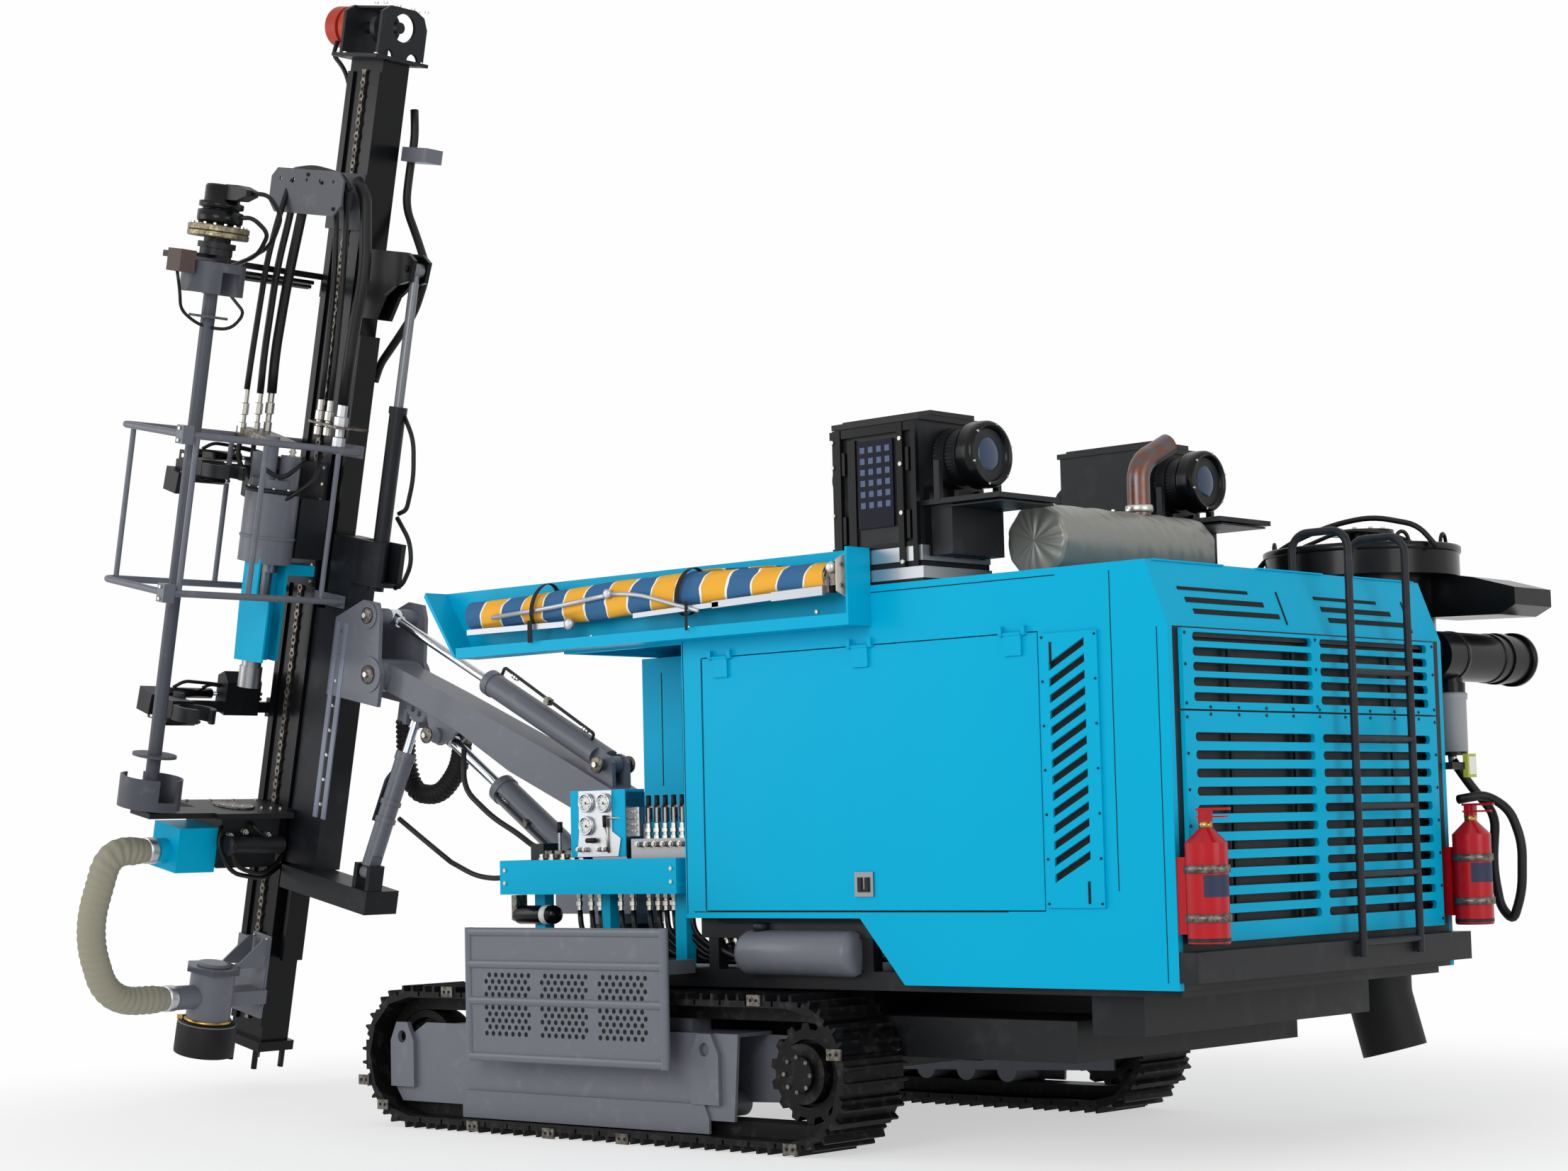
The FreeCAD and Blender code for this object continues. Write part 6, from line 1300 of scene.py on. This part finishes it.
class RIG_OT_extinguishers(bpy.types.Operator):
    """Bands, blank labels, necks, levers and hoses of the extinguishers"""

    bl_idname = "rig.extinguishers"
    bl_label = "Fire extinguishers"

    def execute(self, context):
        labels, handles, pipes, clips = [], [], [], []
        for name, (x, y) in (("left", (3.25, -1.00)), ("right", (3.25, 1.05))):
            spot = (x, y, 0)
            for number, z in enumerate((.988, 1.178)):
                band = [(z, .083), (z, .0918), (z + .030, .0918), (z + .030, .083)]
                turned("bottle_band_%s_%d" % (name, number), band, spot, UP, "worn_steel", sides=40)
            arc = np.linspace(-1.15, .35, 17)
            low = circle((x, y, 1.085), .0850, arc)
            labels.append((low, low + (0, 0, .085)))
            turned("bottle_foot_" + name, [(.900, .060), (.900, .080), (.912, .0845), (.925, .0850),
                                           (.925, .080)], spot, UP, "black", sides=40)
            turned("bottle_neck_" + name, [(1.350, .018), (1.350, .027), (1.375, .027),
                                           (1.378, .018)], spot, UP, "brass", sides=24)
            handles += [((x + .045, y - .01, 1.425), (.150, .024, .010)),
                        ((x + .040, y - .01, 1.395), (.135, .024, .008)),
                        ((x, y, 1.395), (.045, .036, .06))]
            pipes.append(([(x - .02, y + .02, 1.385), (x - .03, y + .085, 1.36),
                           (x - .02, y + .102, 1.22), (x, y + .100, 1.02),
                           (x + .01, y + .098, .95)], .0115))
            clips.append(((x + .002, y + .094, 1.10), (.030, .020, .020)))
        ribbons("bottle_labels", labels, "label")
        boxes("bottle_handles", handles, "red")
        tubes("bottle_hoses", pipes, "hose", bend=.05)
        boxes("bottle_clips", clips, "black")
        return {"FINISHED"}


class RIG_OT_guards(bpy.types.Operator):
    """Guard panels with rows of dark round marks, painted shade standing for holes, with hub bolts and
    tie plates
    """

    bl_idname = "rig.guards"
    bl_label = "Track guards"

    def execute(self, context):
        sheets, holes, plates, dots = [], [], [], []
        pitch = .045
        for side in (-1, 1):
            y = side * 1.3355
            sheets += [((-.057, y, .575), (1.27, .005, .400)),
                       ((-.057, y, .860), (1.27, .005, .165))]
            # Rows of dark round marks: painted shade in place of the guards' holes
            for start in (-.590, -.208, .174):
                for row in range(10):
                    for column in range(7):
                        shift = pitch * (column + .5 * (row % 2))
                        holes.append((start + shift, y + side * .002, .475 + .030 * row))
            for x, z in ((1.06, .655), (-.95, .655), (1.515, .437), (-.78, .030), (-.256, .022),
                         (.231, .022), (1.254, .030), (-1.434, .103), (-1.575, .217)):
                plates.append(((x, side * 1.268, z), (.078, .010, .048)))
                dots += [(x - .017, side * 1.272, z), (x + .017, side * 1.272, z)]
        boxes("guard_panels", sheets, "grey")
        for name, side in (("left", -1), ("right", 1)):
            ring = circle((1.25, side * 1.205, .34), .075, even_angles(8), 0, 2)
            bolts("hub_bolts_" + name, ring, (0, side, 0), .011, .010, "worn_steel")
        boxes("tie_plates", plates, "worn_steel")
        for name, side in (("left", -1), ("right", 1)):
            bolts("guard_hole_shade_" + name, [s for s in holes if s[1] * side > 0], (0, side, 0), .0125,
                  .0015, "gap", sides=8)
            bolts("tie_dots_" + name, [s for s in dots if s[1] * side > 0], (0, side, 0), .008,
                  .003, "gap", sides=8)
        return {"FINISHED"}


class RIG_OT_sill(bpy.types.Operator):
    """Seams of the front cabinet with painted shade behind the doors' bottom gap, and the tank and
    hoses at the sill and tracks
    """

    bl_idname = "rig.sill"
    bl_label = "Sill and hoses"

    def execute(self, context):
        # Dark seams, and a long low strip of painted shade behind the doors' bottom gap
        boxes("cabinet_seams_and_shade", [((.292, -1.0215, 1.86), (.004, .003, .52)),
                                ((.431, -1.0215, 1.805), (.020, .003, .47)),
                                ((1.535, -1.008, 1.010), (1.86, .004, .060))], "gap")
        boxes("cabinet_stays", [((.431, -1.0235, z), (.010, .004, .06))
                                for z in (1.62, 1.70, 1.80, 1.90, 1.98)], "white")
        # Tank and hoses between the housing's sill and the track
        turned("side_tank", [(-.33, .02), (-.33, .085), (-.30, .100), (.30, .100), (.33, .085),
                             (.33, .02)], (1.10, -.995, .845), REAR, "grey", sides=48)
        turned("tank_cap", [(0, .03), (0, .038), (.03, .038), (.035, .03)], (.86, -.995, .943), UP,
               "black", sides=24)
        runs = []
        for number in range(6):
            z = .80 + .022 * number
            runs.append(([(.40, -.80 - .02 * (number % 3), z), (.62, -.86 - .015 * (number % 4), z),
                          (.72, -.94 + .03 * number, .80 + .02 * (number % 2)),
                          (1.25, -.92 + .03 * number, .80), (1.55, -.90 + .05 * number, .84)],
                         .013 + .002 * (number % 3)))
        runs += [([(.47, -.93, .99), (.55, -.95, .86), (.78, -.99, .80), (1.0, -.985, .795)], .015),
                 ([(1.30, -.90, .98), (1.26, -.97, .90), (1.10, -.985, .83), (.9, -.985, .79)],
                  .012)]
        tubes("sill_hoses", runs, "hose", bend=.10)
        fittings("sill_fittings", [(.60, -.955, .94), (.66, -.955, .93)], (.3, 0, -1), .06, .016,
                 "zinc")
        # Drive motor hoses that dip behind each track
        runs = []
        for side in (-1, 1):
            for number in range(2):
                y0 = side * (.60 + .05 * number)
                runs.append(([(.70, y0, .70), (.92, y0 + side * .08, .60),
                              (1.12, y0 + side * .12, .50), (1.22, y0 + side * .22, .42)], .014))
        tubes("drive_hoses", runs, "hose", bend=.12)
        return {"FINISHED"}


# Photograph's camera: focal length in its pixels, heading, pitch, roll and place
FOCAL = 4147.0
HEADING, PITCH, ROLL = (math.radians(a) for a in (42.48, 4.826, -1.379))
EYE = (9.828, -10.586, 1.369)


class RIG_OT_stage(bpy.types.Operator):
    """Floor, soft light and the photograph's camera"""

    bl_idname = "rig.stage"
    bl_label = "Stage"

    def execute(self, context):
        scene = context.scene
        scene.view_settings.view_transform = "Standard"
        ahead = Vector((-math.sin(HEADING) * math.cos(PITCH),
                        math.cos(HEADING) * math.cos(PITCH), math.sin(PITCH)))
        right = Vector((math.cos(HEADING), math.sin(HEADING), 0))
        up = right.cross(ahead)
        side = right * math.cos(ROLL) + up * math.sin(ROLL)
        top = up * math.cos(ROLL) - right * math.sin(ROLL)
        lens = bpy.data.cameras.new("photo_camera")
        lens.sensor_width = 36.0
        lens.lens = FOCAL * 36.0 / 2213
        lens.clip_end = 200.0
        camera = bpy.data.objects.new("photo_camera", lens)
        camera.matrix_world = Matrix((
            (side.x, top.x, -ahead.x, EYE[0]), (side.y, top.y, -ahead.y, EYE[1]),
            (side.z, top.z, -ahead.z, EYE[2]), (0, 0, 0, 1)))
        scene.collection.objects.link(camera)
        scene.camera = camera
        # The floor is matt near the machine and fades into the plain white behind it
        floor_paint = MATERIALS["floor"] = bpy.data.materials.new("pale_floor")
        floor_paint.use_nodes = True
        nodes = floor_paint.node_tree
        shader = nodes.nodes["Principled BSDF"]
        shader.inputs["Base Color"].default_value = linear("#f4f4f2")
        shader.inputs["Roughness"].default_value = 0.9
        where = add(nodes, "ShaderNodeTexCoord")
        away = add(nodes, "ShaderNodeVectorMath", {0: where.outputs["Object"]},
                   operation="LENGTH")
        fade = add(nodes, "ShaderNodeMapRange", {"Value": away.outputs["Value"],
                                                 "From Min": 2.5, "From Max": 6.5,
                                                 "To Min": 0.55},
                   interpolation_type="SMOOTHSTEP")
        plain = add(nodes, "ShaderNodeEmission", {"Color": (1, 1, 1, 1), "Strength": 0.99})
        blended = add(nodes, "ShaderNodeMixShader", {0: fade.outputs[0],
                                                     1: shader.outputs[0],
                                                     2: plain.outputs[0]})
        nodes.links.new(blended.outputs[0], nodes.nodes["Material Output"].inputs["Surface"])
        half, level = 60.0, -0.004
        corners = np.array([[-half, -half, level], [half, -half, level], [half, half, level],
                            [-half, half, level]])
        floor = link_mesh("floor", corners, [[0, 1, 2, 3]], "floor", None)
        world = bpy.data.worlds.new("soft_world")
        world.use_nodes = True
        tree = world.node_tree
        tree.nodes.clear()
        ray = add(tree, "ShaderNodeLightPath")
        seen = add(tree, "ShaderNodeMath", {0: ray.outputs["Is Camera Ray"],
                                            1: ray.outputs["Is Glossy Ray"]}, operation="MAXIMUM")
        light = add(tree, "ShaderNodeBackground", {"Color": (1, 1, 1, 1), "Strength": 0.44})
        shown = add(tree, "ShaderNodeBackground", {"Color": (1, 1, 1, 1), "Strength": 0.99})
        mix = add(tree, "ShaderNodeMixShader", {0: seen.outputs[0], 1: light.outputs[0],
                                                2: shown.outputs[0]})
        add(tree, "ShaderNodeOutputWorld", {"Surface": mix.outputs[0]})
        scene.world = world
        lamps = (("key", (5, -13, 5.5), 800.0, 6.0), ("fill", (-9, -8, 5), 340.0, 6.0),
                 ("top", (0, 3, 13), 70.0, 8.0), ("side", (14, -1, 4), 400.0, 6.0))
        for name, place, power, size in lamps:
            data = bpy.data.lights.new(name, "AREA")
            data.energy = power
            data.size = size
            lamp = bpy.data.objects.new(name, data)
            lamp.location = place
            aim = Vector((0, 0, 1.8)) - Vector(place)
            lamp.rotation_euler = aim.to_track_quat("-Z", "Y").to_euler()
            scene.collection.objects.link(lamp)
        return {"FINISHED"}


class RIG_PT_panel(bpy.types.Panel):
    """The rig's pieces, in the order they are made"""

    bl_idname = "RIG_PT_panel"
    bl_label = "Drilling rig"
    bl_space_type = "VIEW_3D"
    bl_region_type = "UI"
    bl_category = "Rig"

    def draw(self, context):
        for name in STEPS:
            self.layout.operator("rig." + name)


STEPS = ("finishes", "awning", "muffler", "roof_units", "housing", "console", "mast_hoses", "head",
         "carousel", "grippers", "table", "mast_plates", "hood", "crown", "hose_cloth", "boom",
         "collector", "cleaner", "extinguishers", "guards", "sill", "stage")
CLASSES = (RigSettings, RIG_OT_finishes, RIG_OT_awning, RIG_OT_muffler, RIG_OT_roof_units,
           RIG_OT_housing, RIG_OT_console, RIG_OT_mast_hoses, RIG_OT_head, RIG_OT_carousel,
           RIG_OT_grippers, RIG_OT_table, RIG_OT_mast_plates, RIG_OT_hood, RIG_OT_crown,
           RIG_OT_hose_cloth, RIG_OT_boom, RIG_OT_collector, RIG_OT_cleaner, RIG_OT_extinguishers,
           RIG_OT_guards, RIG_OT_sill, RIG_OT_stage, RIG_PT_panel)


def register():
    """Add the settings, operators and panel."""
    for cls in CLASSES:
        bpy.utils.register_class(cls)
    bpy.types.Scene.rig_settings = bpy.props.PointerProperty(type=RigSettings)


def unregister():
    """Take the settings, operators and panel out again."""
    del bpy.types.Scene.rig_settings
    for cls in reversed(CLASSES):
        bpy.utils.unregister_class(cls)


def main():
    """Make every piece."""
    register()
    for name in STEPS:
        getattr(bpy.ops.rig, name)()


if __name__ == "__main__":
    main()
